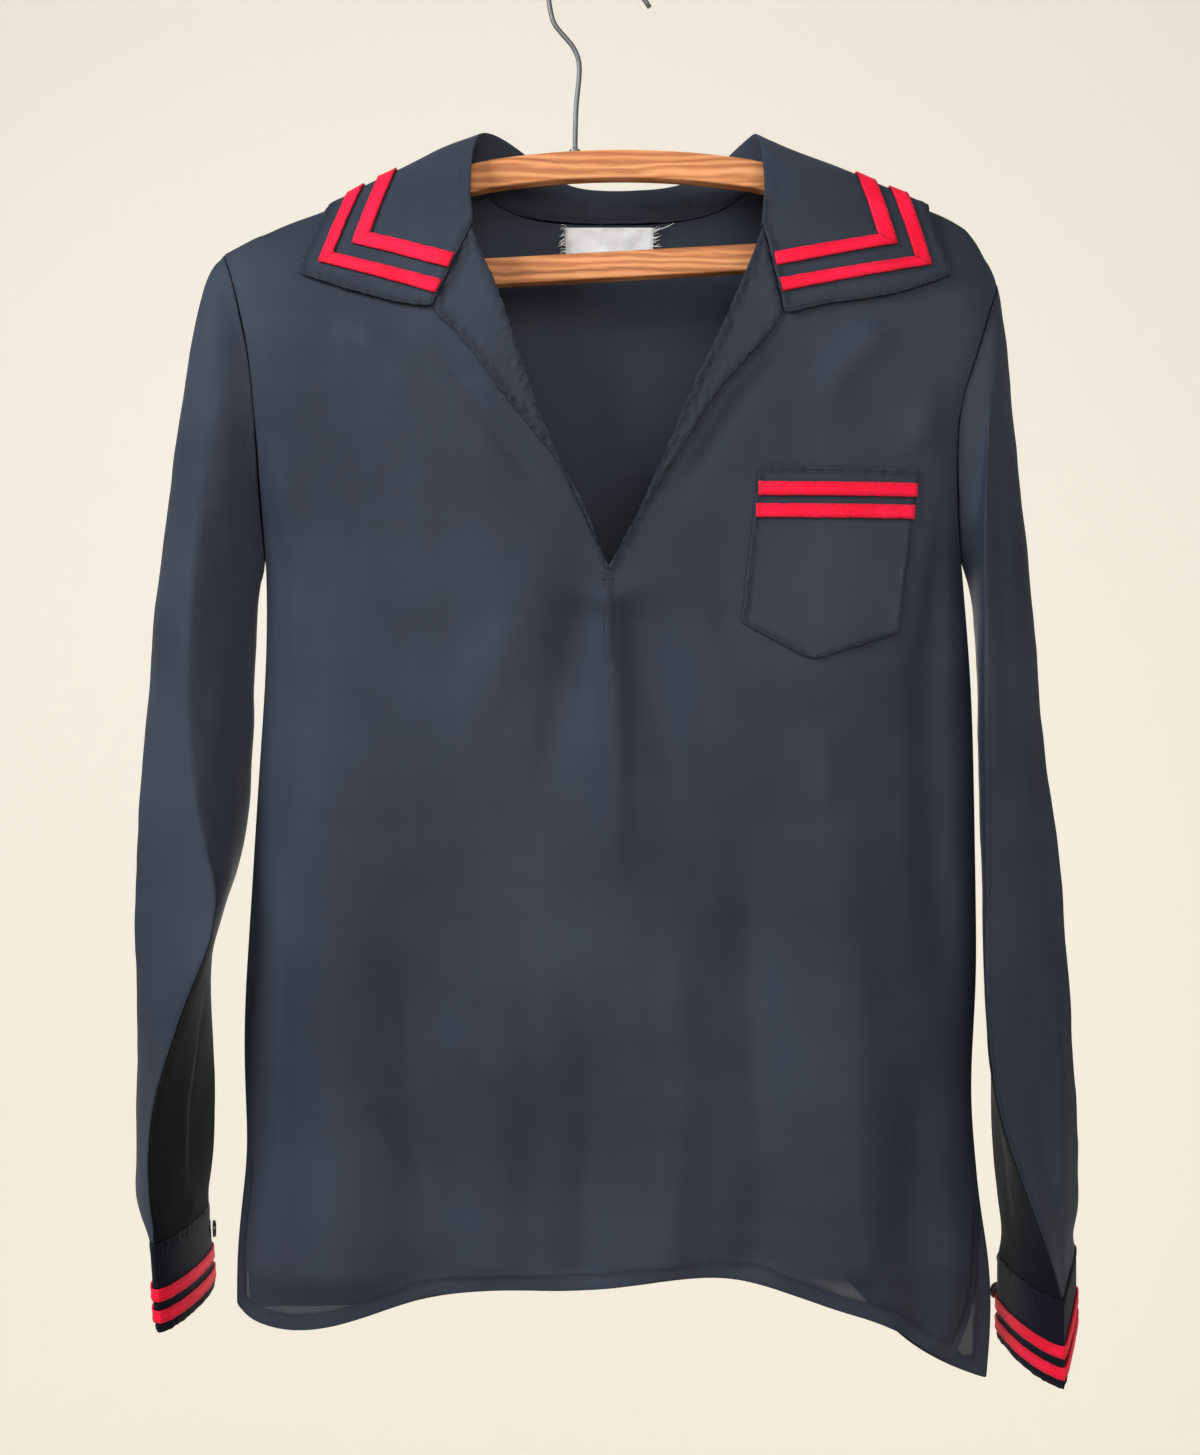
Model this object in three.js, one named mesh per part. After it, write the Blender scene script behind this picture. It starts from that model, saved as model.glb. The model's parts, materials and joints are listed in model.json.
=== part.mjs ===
// A pullover sailor top on its wooden hanger, in millimetres.
// X runs to the viewer's right, the front faces -Y and +Z is up.
// The origin is the inside of the hook's crown, where a rod or a nail carries it.
import * as THREE from 'three';

// Driving dimensions
const CLOTH = 1.2;            // wall of the panels
const TRIM = 1.0;             // wall of the tapes, the pocket and the label
const SEAM_GAP = 0.35;        // free space between two pieces at a seam
const NECK_GAP = 2.1;         // free space where the collar's stand meets the curved neckline
const LAID_GAP = 1.0;         // free space under a piece that lies on a panel
const CENTRE_X = 9;           // centre line of the body
const UNDERARM_Z = -381;
const FRONT_DEPTH = 36;       // how far the front stands from the hanger's plane
const BACK_DEPTH = 38;
const CAP_DEPTH = 8;          // half the width of the ridge over the hanger
const CAP_DROP = 1.2;
const TAPE_GAP = 1;           // free space under a collar tape
const SHOULDER_FALL = 30;     // how fast the panels reach their full depth
const SLIT_TOP = { left: -728, right: -763 };
const SLIT_SPREAD = 12;       // how far each panel leaves the seam plane at the slit's foot
const TAPE_WIDTH = 8;
const CUFF_TAPE = 7;
const BUTTON = { // place is the share of the way round the cuff, up its height over the foot
  radius: 5.2, thick: 2.4, place: 0.65,
  left: { up: 34, out: 0.7 }, right: { up: 25, out: 1.9 },
};
const HOOK = {
  radius: 28, wire: 1.5, start: 1.08, sweep: 1.16, tip: [[30.4, -37.5], [34, -43]],
  stem: [[-10.2, -105], [-8.4, -76], [-12, -66.7], [-18, -59.5], [-23.6, -52]],
};
const WOOD = {
  thick: 11, arch: 17, bar: 16, tilt: 0.0545, x: -10.8, z: -130.5, curve: 0.00098,
  archEnds: [-216, 214], barEnds: [-208, 212], barZ: -190.7, clear: 0.9,
  tuck: 6, // how far inside the neck the arch starts to follow the shoulders
};
const FERRULE = { inner: 1.9, outer: 3.4, high: 1.4 };
const LABEL = { left: -17, right: 37, head: -168, foot: -190 };
const SHOULDER_TOP = -135;    // height of the shoulder seam at the neck
const HEM_START = 8;          // the hem's points start this far from the centre line
const BACK_NECK_Z = -166;     // the neck seam and the tops of the slits on the centre line
const SLIT_Z = -738;

// Colours of the cloth, the trims and the hanger
const navy = new THREE.MeshStandardMaterial({ color: 0x1a2430, roughness: 0.6 });
const darkNavy = new THREE.MeshStandardMaterial({ color: 0x11161f, roughness: 0.65 });
const red = new THREE.MeshStandardMaterial({ color: 0xe01434, roughness: 0.6 });
const satin = new THREE.MeshStandardMaterial({ color: 0xb9bcc2, roughness: 0.5 });
const black = new THREE.MeshStandardMaterial({ color: 0x0c0d10, roughness: 0.35 });
const wood = new THREE.MeshStandardMaterial({ color: 0xa8682f, roughness: 0.6 });
const steel = new THREE.MeshStandardMaterial({ color: 0x6d6f72, roughness: 0.35, metalness: 0.9 });

// Outlines in the plane of the hanger, each point [x, z]
const SHOULDER = {
  left: [[-219.6, -192.1], [-200.4, -181.9], [-183, -173.5], [-156, -164.2], [-135, -153.6],
    [-105, -141.5], [-78, -135.5]],
  right: [[241.2, -210.1], [231.6, -189.1], [224.1, -176.5], [210.6, -169.2], [189.6, -161],
    [172.8, -154.4], [139.8, -142.4], [108, -134.5]],
};
const ARMHOLE = {
  left: [[-219.6, -192.1], [-214.5, -206.5], [-210.5, -222], [-207.2, -235], [-202.8, -254.5],
    [-200.4, -276.7], [-198, -314.5], [-196, UNDERARM_Z]],
  right: [[241.2, -210.1], [235.5, -228], [227.4, -252.7], [217.2, -282], [215.1, -304.9],
    [215.6, -335.5], [221.4, UNDERARM_Z]],
};
const SIDE = {
  left: [[-196, UNDERARM_Z], [-195.8, -430], [-200.4, -502], [-205.2, -581], [-209.5, -660],
    [-207, SLIT_TOP.left]],
  right: [[221.4, UNDERARM_Z], [226.8, -449], [229.2, -545], [229.8, -640], [226, -686],
    [232.4, SLIT_TOP.right]],
};
const FRONT_SLIT = {
  left: [[-207, SLIT_TOP.left], [-211, -772], [-212.5, -795], [-211.5, -817]],
  right: [[232.4, SLIT_TOP.right], [231, -791], [228, -819], [223, -838], [214, -850]],
};
const BACK_SLIT = {
  left: [[-207, SLIT_TOP.left], [-209, -772], [-210, -800], [-209, -828]],
  right: [[232.4, SLIT_TOP.right], [238.5, -790], [241, -830], [239, -869]],
};
const FRONT_HEM = [[-211.5, -817], [-204, -822], [-188, -825.5], [-160, -824], [-135, -818], [-100, -807],
  [-60, -803], [0, -801], [35, -796.5], [60, -795], [85, -797], [139, -812], [172, -822], [196, -840],
  [214, -850]];
const BACK_HEM = [[-209, -828], [-170, -831], [-125, -830], [-75, -821], [-38, -811], [0, -807],
  [40, -807.5], [75, -799.5], [95, -795], [128, -800], [163, -821], [182, -845], [214, -862], [239, -869]];
const ROLL = {
  left: [[-71, -184.5], [-64.6, -198], [-56.4, -217], [-48.3, -240], [-40.7, -263], [-29.9, -294],
    [-15.5, -328], [-2, -358], [9.1, -382]],
  right: [[98.8, -184.5], [94.3, -197], [84.7, -220], [71.5, -250], [60.8, -270], [51, -294],
    [36.3, -328.4], [22.5, -358], [9.1, -382]],
};
const REVER_EDGE = {
  left: [[-92.8, -232], [-79.9, -245.2], [-65.2, -262], [-54.8, -277], [-40.3, -295.5], [-20, -321],
    [-6.8, -341.5], [1.5, -363], [8, -383.5]],
  right: [[110.6, -236], [97.3, -252.8], [74.7, -277], [61.4, -297.3], [50, -315], [40, -331.5],
    [27, -352], [17.5, -369], [10.2, -383.5]],
};

// The neck seam and the collar's roll line from the front ends to the centre back, each point [x, y, z]
const NECK = {
  left: [[-71, -28, -184.5], [-75, -23, -166], [-77.5, -15, -149], [-78, -8.5, -137.2], [-78, 0, -135.5],
    [-77.5, 8.5, -137.2], [-74, 14.5, -145], [-63, 23.5, -155], [-44, 28, -162.5], [-20, 30, -165.5]],
  right: [[98.8, -28, -184.5], [104, -23, -166], [107.5, -15, -149], [108, -8.5, -136.2], [108, 0, -134.5],
    [107, 8.5, -136.2], [103, 14.5, -144], [91, 23.5, -154], [72, 28, -161.5], [48, 30, -165.5]],
};
const COLLAR_ROLL = {
  left: [[-70, -31, -181], [-71.6, -27, -161], [-71.2, -17, -138], [-69.6, -9, -126], [-67.8, 0, -118.9],
    [-63, 9, -115.5], [-56, 16, -116], [-41.5, 26, -123], [-23, 33, -134.6], [-8, 35, -140]],
  right: [[99, -31, -181], [100.6, -27, -161], [99.8, -17, -138.5], [98.8, -9, -126], [97.5, 0, -118.1],
    [94, 9, -118.5], [88, 16, -122], [76, 26, -130], [58, 33, -137], [38, 35, -140.5]],
};
const RIDGE_POINT = 4;        // place of the shoulder ridge in the two tables above
const COLLAR_POINT = { left: [-173, -208.5], right: [211, -208.5] };
const COLLAR_NOTCH = { left: [-93.5, -231], right: [111.5, -235.5] };
const COLLAR_FRONT_EDGE = {
  left: [COLLAR_NOTCH.left, [-113.3, -228.8], [-135.1, -222.3], [-160.4, -214], COLLAR_POINT.left],
  right: [COLLAR_NOTCH.right, [122, -231.5], [145, -228], [168.5, -224.5], [192.5, -217], COLLAR_POINT.right],
};
const COLLAR_SIDE_EDGE = {
  left: [COLLAR_POINT.left, [-166.5, -191], [-161, -177.5], [-155.7, -162.1]],
  right: [COLLAR_POINT.right, [202.5, -186], [199.8, -175], [198.6, -162.6]],
};
const COLLAR_RIDGE = {
  left: [[-67.8, -118.9], [-87.2, -125.5], [-105, -135.1], [-116.4, -141.1], [-135.6, -150.7],
    [-146.4, -157.4], [-155.7, -162.1]],
  right: [[97.5, -118.1], [116.4, -127.4], [139.8, -136.3], [153, -141.7], [172.8, -151],
    [189.6, -158.3], [198.6, -162.6]],
};
const COLLAR_BACK = { leftX: -146, rightX: 187, hem: -302 };

// The two tapes of the collar: their outer and inner edges at the seam to the rever, at the mitred
// corner and on the shoulder ridge, and their distance from the flap's edge behind
const COLLAR_TAPES = {
  outer: {
    left: {
      seam: [[-90.8, -223.6], [-87.4, -216]], corner: [[-160.2, -203], [-151.5, -198]],
      ridge: [-145.2, -136.2],
    },
    right: {
      seam: [[109.9, -222.5], [108, -215]], corner: [[198, -204.3], [188.1, -200]],
      ridge: [186.6, 176.5],
    },
    inset: [8, 16],
  },
  inner: {
    left: {
      seam: [[-83.8, -208.7], [-80, -200.4]], corner: [[-140.4, -192.5], [-129.8, -186.5]],
      ridge: [-127.2, -117.2],
    },
    right: {
      seam: [[106.5, -207.5], [104.9, -199.6]], corner: [[178, -192.4], [166.5, -187.5]],
      ridge: [167.8, 156.8],
    },
    inset: [24, 32],
  },
};
const DIAGONAL = 0.7;         // share of a slanting lift in depth and in height
const TAPE_STEP = 13;         // length of a tape's facets behind
const TAPE_COUNT = { along: 7, up: 5 }; // facets along the front edge and up the side
const FLAP_LIFT = 0.4;        // the tapes lie a little further out on the flap
const POCKET = {
  topLeft: [96.3, -323.5], topRight: [191, -324.5],
  footLeft: [86, -414], footRight: [179.5, -419.5], point: [127, -436],
  pointShare: 0.44, leftSlope: 0.114, rightSlope: 0.121,
};
const POCKET_TAPES = { upper: 9.2, lower: 21.9 }; // distance of each from the pocket's head
const TAPE_INDENT = 0.6;      // the pocket's tapes end short of its sides

// Soft standing folds of the body, which deepen towards the hem
const FOLDS = [
  { x: -165, width: 42, front: 9, back: -5 },
  { x: -70, width: 46, front: -7, back: 7 },
  { x: 15, width: 50, front: 5, back: -4 },
  { x: 85, width: 40, front: -11, back: 6 },
  { x: 165, width: 44, front: 8, back: 4 },
];
const FOLD_TOP = -470;
const FOLD_FOOT = -820;

// Sleeve sections. outer is the silhouette side, inner faces the body, near and far are the front
// and the rear of the section. Above the underarm the sections fan out from the armhole.
const SLEEVE = {
  left: [
    { outer: [-227, -3, -197], near: [-209, -24], inner: [-197.6, 1, -383.5], far: [-209, 26] },
    { outer: [-234.5, -4, -214], near: [-216, -28], inner: [-198.8, 2, -388], far: [-217, 32] },
    { outer: [-242.5, -4, -256], near: [-222, -30], inner: [-199.8, 3, -393.5], far: [-223, 38] },
    { outer: [-249, -4, -302], near: [-228, -31], inner: [-201, 4, -402], far: [-230, 43] },
    { outer: [-256, -4, -352], near: [-232, -32], inner: [-202.2, 5, -414], far: [-234, 47] },
    { outer: [-262, -4, -402], near: [-235, -32], inner: [-203.2, 6, -432], far: [-236, 50] },
    { outer: [-266, -4, -455], near: [-236, -32], inner: [-204.2, 6, -458], far: [-237, 52] },
    { outer: [-269.5, -6, -500], near: [-234, -34], inner: [-205.6, 7, -500], far: [-238, 54] },
    { outer: [-272, -8, -541], near: [-226, -36], inner: [-208, 6, -541], far: [-239, 54] },
    { outer: [-272.8, -8, -570], near: [-217, -37], inner: [-216, 1, -570], far: [-240, 52] },
    { outer: [-273.2, -8, -600], near: [-219.5, -40], inner: [-228, 0, -600], far: [-240, 49] },
    { outer: [-272.5, -8, -633], near: [-234.6, -44], inner: [-233, 0, -633], far: [-240, 47] },
    { outer: [-271.8, -8, -665], near: [-244.5, -47], inner: [-238, 0, -665], far: [-238.5, 46] },
    { outer: [-271.3, -8, -696], near: [-254, -50], inner: [-243, 0, -696], far: [-236.5, 45] },
    { outer: [-271.3, -8, -736], near: [-254.7, -50], inner: [-243.5, 0, -736], far: [-236, 44] },
    { outer: [-273, -8, -758], near: [-251.5, -49.5], inner: [-241, -1, -758], far: [-239.5, 44] },
    { outer: [-257.5, -8, -770], near: [-250.3, -50], inner: [-237.9, 2, -770], far: [-242.6, 44] },
  ],
  right: [
    { outer: [244.2, -3, -219], near: [230, -24], inner: [223.2, 1, -383.5], far: [231, 26] },
    { outer: [247.6, -4, -243], near: [230, -28], inner: [225, 2, -388], far: [236, 32] },
    { outer: [250.3, -4, -277], near: [229, -29], inner: [227, 3, -393.5], far: [240, 38] },
    { outer: [254.4, -4, -322], near: [228.5, -30], inner: [229.2, 4, -402], far: [244, 43] },
    { outer: [258.8, -4, -366], near: [228.5, -30], inner: [231, 5, -414], far: [247, 47] },
    { outer: [263.2, -4, -410], near: [229, -30], inner: [232, 5, -432], far: [249, 50] },
    { outer: [267.4, -5, -456], near: [229, -30], inner: [232.6, 5, -458], far: [250, 52] },
    { outer: [273.4, -7, -502], near: [229, -31], inner: [233, 5, -502], far: [251, 54] },
    { outer: [278.4, -8, -544], near: [229, -32], inner: [234, 5, -544], far: [252, 54] },
    { outer: [283, -8, -598], near: [228.8, -34], inner: [236, 4, -598], far: [252, 53] },
    { outer: [285, -8, -645], near: [228, -37], inner: [238.5, 3, -645], far: [251.5, 51] },
    { outer: [287.5, -8, -677], near: [230, -41], inner: [240.5, 2, -677], far: [250.5, 49] },
    { outer: [289, -8, -706], near: [235.5, -45], inner: [243, 1, -706], far: [249.5, 48] },
    { outer: [289.4, -8, -740], near: [247.5, -49], inner: [248.5, 0, -740], far: [250, 46] },
    { outer: [290.4, -4, -769], near: [258.5, -50], inner: [251.5, 3, -769], far: [253, 45], rise: 5 },
    { outer: [288.5, 4, -789], near: [265, -51], inner: [251.5, 12, -789], far: [258, 45], rise: 11 },
    { outer: [292.5, 11, -802], near: [268.3, -51.5], inner: [251.4, 19, -802], far: [262, 45], rise: 14 },
  ],
};
// lean moves a cuff's section sideways from its foot to its head; rise lifts its outer side
const CUFF = {
  left: {
    outer: [-253.6, -8], near: [-246.7, -50], inner: [-234.3, 2], far: [-239, 44],
    head: -770.5, foot: -821, lean: -3.6, rise: 0,
  },
  right: {
    outer: [293.5, 12], near: [268.8, -52], inner: [251, 20], far: [262, 45],
    head: -802.5, foot: -853, lean: 0, rise: 14,
  },
};
const ROUND = { sleeve: 1.6, cuff: 1.1, hollow: 1.9 }; // 1 is an ellipse, 2 a rhomb, more is hollow
const CUFF_TAPES = [{ name: 'upper', fromFoot: 24.8 }, { name: 'lower', fromFoot: 12.6 }];

// Grid counts
const ROWS = { upper: 10, middle: 11, slit: 3 };
const HALF_COLUMNS = 10;
const BACK_SHOULDER = 6;      // of the back's columns, those along a shoulder
const EDGE_EASE = 1.35;       // columns close up towards the side seams
const COLLAR_ROWS = 6;
const COLLAR_COLUMNS = 8;
const SEAM_COLUMNS = 3;       // of the collar's columns, those along the seam to the rever
const FLAP = { side: 6, bottom: 8 };
const COUNTS = {
  pocket: [9, 9], pocketTape: 16, rever: [14, 3], label: [3, 6], arch: 36, bar: 30,
  hook: 10, wire: 56, wireRound: 4, ferrule: 16,
};
const EDGE_POINTS = { armhole: 16, side: 20, slit: 6 };
const FLAP_EASE = 1.5;        // the flap's rows close up towards the shoulders

// Shapes of the cloth
const SEAM_SHIFT = 0.15;      // a sleeve's extra distance from the panels at the armhole
const EDGE_HALF = 0.25;       // half the distance between front and back along the side seam
const ARMHOLE_SWELL = 16;     // depth that the panels' edges reach half way down the armhole
const SLIT_RUN = 100;         // height over which the panels part below a slit's top
const EDGE_CURVE = [4, 0.6];  // how squarely a panel turns in at its side seams
const FOLD_GROWTH = 1.4;      // how late the standing folds grow
const RIDGE_BAND = 14;        // band under the shoulder ridge that keeps clear of the hanger
const RIDGE_RISE = 8;         // height over the shoulder line from where a panel's depth counts
const ROLL_LIFT = { rise: 3.5, until: 0.15, laid: 0.5 }; // how the collar leaves its roll
const RIDGE_DROP = { front: 6, back: 3, edge: 1 }; // how far the rows next to the ridge lie below it

const top = new THREE.Group();

function add(name, geometry, material) {
  const mesh = new THREE.Mesh(geometry, material);
  mesh.name = name;
  top.add(mesh);
  return mesh;
}

const clamp = THREE.MathUtils.clamp;
const lerp = THREE.MathUtils.lerp;
const smooth = (x) => THREE.MathUtils.smoothstep(x, 0, 1);

// Points spaced evenly along a smooth curve through [x, z] or [x, y, z] points
function sample(points, count) {
  const flat = points[0].length === 2;
  const curve = new THREE.CatmullRomCurve3(
    points.map((p) => (flat ? new THREE.Vector3(p[0], 0, p[1]) : new THREE.Vector3(...p))),
    false,
    'centripetal',
  );
  return curve.getSpacedPoints(count).map((p) => (flat ? [p.x, p.z] : [p.x, p.y, p.z]));
}

// Value of one column of a table where another column reaches t
function lookUp(table, t, from, to) {
  const rising = table[table.length - 1][from] > table[0][from];
  const rows = rising ? table : [...table].reverse();
  if (t <= rows[0][from]) return rows[0][to];
  for (let i = 1; i < rows.length; i += 1) {
    if (t <= rows[i][from]) {
      const share = (t - rows[i - 1][from]) / (rows[i][from] - rows[i - 1][from]);
      return lerp(rows[i - 1][to], rows[i][to], share);
    }
  }
  return rows[rows.length - 1][to];
}

function edgeLine(side) {
  const { armhole, side: seam, slit } = EDGE_POINTS;
  const lower = [...sample(SIDE[side], seam).slice(1), ...sample(FRONT_SLIT[side], slit).slice(1)];
  return [...sample(ARMHOLE[side], armhole), ...lower];
}

const EDGE = {
  left: edgeLine('left'),
  right: edgeLine('right'),
};
const SHOULDER_LINE = { left: sample(SHOULDER.left, 24), right: sample(SHOULDER.right, 24) };

function shoulderZ(x) {
  if (x < SHOULDER.left.at(-1)[0]) return lookUp(SHOULDER_LINE.left, x, 0, 1);
  if (x > SHOULDER.right.at(-1)[0]) return lookUp(SHOULDER_LINE.right, x, 0, 1);
  return SHOULDER_TOP;
}

// Depth at the armhole and the side seam, as a function of height
function edgeDepth(side, z) {
  const start = ARMHOLE[side][0][1];
  if (z > UNDERARM_Z) {
    const s = clamp((start - z) / (start - UNDERARM_Z), 0, 1);
    return CAP_DEPTH * (1 - s) + ARMHOLE_SWELL * Math.sin(Math.PI * s) + EDGE_HALF;
  }
  const below = Math.max((SLIT_TOP[side] - z) / SLIT_RUN, 0);
  return EDGE_HALF + SLIT_SPREAD * below;
}

// Distance of a body panel from the hanger's plane
function panelDepth(face, x, z) {
  const side = x < CENTRE_X ? 'left' : 'right';
  const half = Math.abs(lookUp(EDGE[side], z, 1, 0) - CENTRE_X);
  const t = clamp(Math.abs(x - CENTRE_X) / half, 0, 1);
  const edge = edgeDepth(side, z);
  const below = Math.max(shoulderZ(x) - z, 0);
  const full = face === 'front' ? FRONT_DEPTH : BACK_DEPTH;
  const grown = clamp((FOLD_TOP - z) / (FOLD_TOP - FOLD_FOOT), 0, 1) ** FOLD_GROWTH;
  let middle = full * (1 - Math.exp(-(below + RIDGE_RISE) / SHOULDER_FALL));
  for (const fold of FOLDS) middle += grown * fold[face] * Math.exp(-(((x - fold.x) / fold.width) ** 2));
  const [square, turn] = EDGE_CURVE;
  const depth = edge + (middle - edge) * (1 - t ** square) ** turn;
  return below < RIDGE_BAND ? Math.max(depth, CAP_DEPTH) : depth;
}
const frontY = (x, z) => -panelDepth('front', x, z);
const backY = (x, z) => panelDepth('back', x, z);

// A closed wall: the outer faces, the same faces moved inwards, and a rim along every free edge.
// flatten(index) gives the axes that the wall's direction must not have at that point.
function wall(points, faces, thickness, flatten = () => '') {
  const outer = points.map((p) => new THREE.Vector3(...p));
  const normals = outer.map(() => new THREE.Vector3());
  const edges = new Map();
  for (const face of faces) {
    const [a, b, c, d] = face.map((i) => outer[i]);
    const normal = new THREE.Vector3().subVectors(c, a).cross(new THREE.Vector3().subVectors(d, b));
    face.forEach((i, k) => {
      normals[i].add(normal);
      edges.set(`${i}_${face[(k + 1) % 4]}`, [i, face[(k + 1) % 4]]);
    });
  }
  const inner = outer.map((p, i) => {
    for (const axis of flatten(i)) normals[i][axis] = 0;
    return p.clone().addScaledVector(normals[i].normalize(), -thickness);
  });
  const count = outer.length;
  const index = [];
  for (const [a, b, c, d] of faces) {
    index.push(a, b, c, a, c, d);
    index.push(a + count, c + count, b + count, a + count, d + count, c + count);
  }
  for (const [a, b] of edges.values()) {
    if (edges.has(`${b}_${a}`)) continue;
    index.push(b, a, a + count, b, a + count, b + count);
  }
  const geometry = new THREE.BufferGeometry().setFromPoints([...outer, ...inner]);
  geometry.setIndex(index);
  geometry.computeVertexNormals();
  return geometry;
}

// Faces of a grid of rows, row by row. turned swaps the side that counts as outer.
function gridFaces(rows, columns, { turned = false, loop = false, base = 0 } = {}) {
  const faces = [];
  const width = loop ? columns : columns + 1;
  for (let j = 0; j < rows; j += 1) {
    for (let i = 0; i < columns; i += 1) {
      const next = loop ? (i + 1) % columns : i + 1;
      const face = [j * width + i, (j + 1) * width + i, (j + 1) * width + next, j * width + next];
      faces.push((turned ? face.reverse() : face).map((k) => k + base));
    }
  }
  return faces;
}

// Rows of [x, z] points that fill the outline given by its four sides
function fill(left, right, upper, lower, ease = (u) => u) {
  const rows = left.length - 1;
  const columns = upper.length - 1;
  const grid = [];
  for (let j = 0; j <= rows; j += 1) {
    const v = j / rows;
    const row = [];
    for (let i = 0; i <= columns; i += 1) {
      const u = ease(i / columns);
      row.push([0, 1].map((k) => {
        const across = lerp(left[j][k], right[j][k], u);
        const down = lerp(upper[i][k], lower[i][k], v);
        const corners = lerp(lerp(left[0][k], right[0][k], u), lerp(left[rows][k], right[rows][k], u), v);
        return across + down - corners;
      }));
    }
    grid.push(row);
  }
  return grid;
}

// Points along a curve at eased shares of its length
function easedSample(points, count, ease) {
  const fine = 200;
  const dense = sample(points, fine);
  return Array.from({ length: count + 1 }, (_, i) => dense[Math.round(ease(i / count) * fine)]);
}

// One half of a body panel as rows of [x, y, z], from its side seam to the centre
function halfPanel(face, side) {
  const ease = (u) => u ** EDGE_EASE;
  const slit = face === 'front' ? FRONT_SLIT[side] : BACK_SLIT[side];
  const hem = face === 'front' ? FRONT_HEM : BACK_HEM;
  const edge = [
    ...sample(ARMHOLE[side], ROWS.upper),
    ...sample(SIDE[side], ROWS.middle).slice(1),
    ...sample(slit, ROWS.slit).slice(1),
  ];
  const hemZ = lookUp(hem, CENTRE_X, 0, 1);
  const neck = NECK[side].filter((p) => (face === 'front' ? p[1] <= 0 : p[1] >= 0)).map((p) => [p[0], p[2]]);
  const vFoot = ROLL[side].at(-1);
  let inner;
  if (face === 'front') {
    inner = [
      ...sample([...neck.reverse(), ...ROLL[side].slice(1)], ROWS.upper),
      ...sample([vFoot, [vFoot[0], SLIT_Z]], ROWS.middle).slice(1),
      ...sample([[vFoot[0], SLIT_Z], [vFoot[0], hemZ]], ROWS.slit).slice(1),
    ];
  } else {
    inner = [
      ...sample([[CENTRE_X, BACK_NECK_Z], [CENTRE_X, vFoot[1]]], ROWS.upper),
      ...sample([[CENTRE_X, vFoot[1]], [CENTRE_X, SLIT_Z]], ROWS.middle).slice(1),
      ...sample([[CENTRE_X, SLIT_Z], [CENTRE_X, hemZ]], ROWS.slit).slice(1),
    ];
  }
  let shoulder = easedSample(SHOULDER[side], HALF_COLUMNS, ease);
  if (face === 'back') {
    shoulder = [
      ...easedSample(SHOULDER[side], BACK_SHOULDER, ease),
      ...sample([...neck, [CENTRE_X, BACK_NECK_Z]], HALF_COLUMNS - BACK_SHOULDER).slice(1),
    ];
  }
  const hemEnd = edge.at(-1);
  const away = side === 'left' ? -1 : 1;
  const hemHalf = hem.filter((p) => away * (p[0] - CENTRE_X) > HEM_START);
  const hemRow = side === 'left' ? hemHalf : hemHalf.reverse();
  const lower = easedSample([hemEnd, ...hemRow.slice(1), inner.at(-1)], HALF_COLUMNS, ease);
  const flat = fill(edge, inner, shoulder, lower, ease);
  const sign = face === 'front' ? -1 : 1;
  const rows = flat.map((row, j) => row.map(([x, z], i) => {
    if (j > 0) return [x, sign * panelDepth(face, x, z), z];
    const onShoulder = face === 'front' || i <= BACK_SHOULDER;
    return [x, sign * (onShoulder ? CAP_DEPTH : panelDepth(face, x, z)), z - (onShoulder ? CAP_DROP : 0)];
  }));
  return { rows, shoulder };
}

// A body panel: both halves joined at the centre, with the ridge rows over the shoulders
function bodyPanel(face) {
  const halves = { left: halfPanel(face, 'left'), right: halfPanel(face, 'right') };
  const sign = face === 'front' ? -1 : 1;
  const points = [];
  const keys = new Map();
  const seams = new Map();
  const put = (p, flatten = '') => {
    const key = p.map((v) => v.toFixed(4)).join();
    if (!keys.has(key)) {
      keys.set(key, points.length);
      points.push(p);
    }
    const index = keys.get(key);
    seams.set(index, (seams.get(index) || '') + flatten);
    return index;
  };
  const faces = [];
  const edges = {};
  for (const side of ['left', 'right']) {
    const { rows, shoulder } = halves[side];
    const along = face === 'front' ? HALF_COLUMNS : BACK_SHOULDER;
    const ridge = shoulder.slice(0, along + 1).map(([x, z]) => [x, sign * SEAM_GAP * 0.5, z]);
    const shared = (j) => (face === 'back' || j >= ROWS.upper);
    const grid = rows.map((row, j) => row.map((p, i) => {
      const q = [...p];
      if (i === HALF_COLUMNS && shared(j)) q[0] = CENTRE_X;
      if (i === HALF_COLUMNS && shared(j)) q[1] = sign * panelDepth(face, CENTRE_X, q[2]);
      const atArmhole = i === 0 && j < ROWS.upper;
      const atSide = i === 0 && j >= ROWS.upper;
      return put(q, (atArmhole ? 'x' : '') + (atSide ? 'y' : ''));
    }));
    const ridgeRow = ridge.map((p) => put(p, 'y'));
    const clockwise = (side === 'left') === (face === 'back');
    const quad = (...corners) => faces.push(clockwise ? corners.reverse() : corners);
    for (let i = 0; i < along; i += 1) quad(ridgeRow[i], grid[0][i], grid[0][i + 1], ridgeRow[i + 1]);
    for (let j = 0; j < grid.length - 1; j += 1) {
      const [upper, lower] = [grid[j], grid[j + 1]];
      for (let i = 0; i < HALF_COLUMNS; i += 1) quad(upper[i], lower[i], lower[i + 1], upper[i + 1]);
    }
    edges[side] = [points[ridgeRow[0]], ...grid.slice(0, ROWS.upper + 1).map((row) => points[row[0]])];
  }
  return { geometry: wall(points, faces, CLOTH, (i) => seams.get(i)), edges };
}

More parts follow.
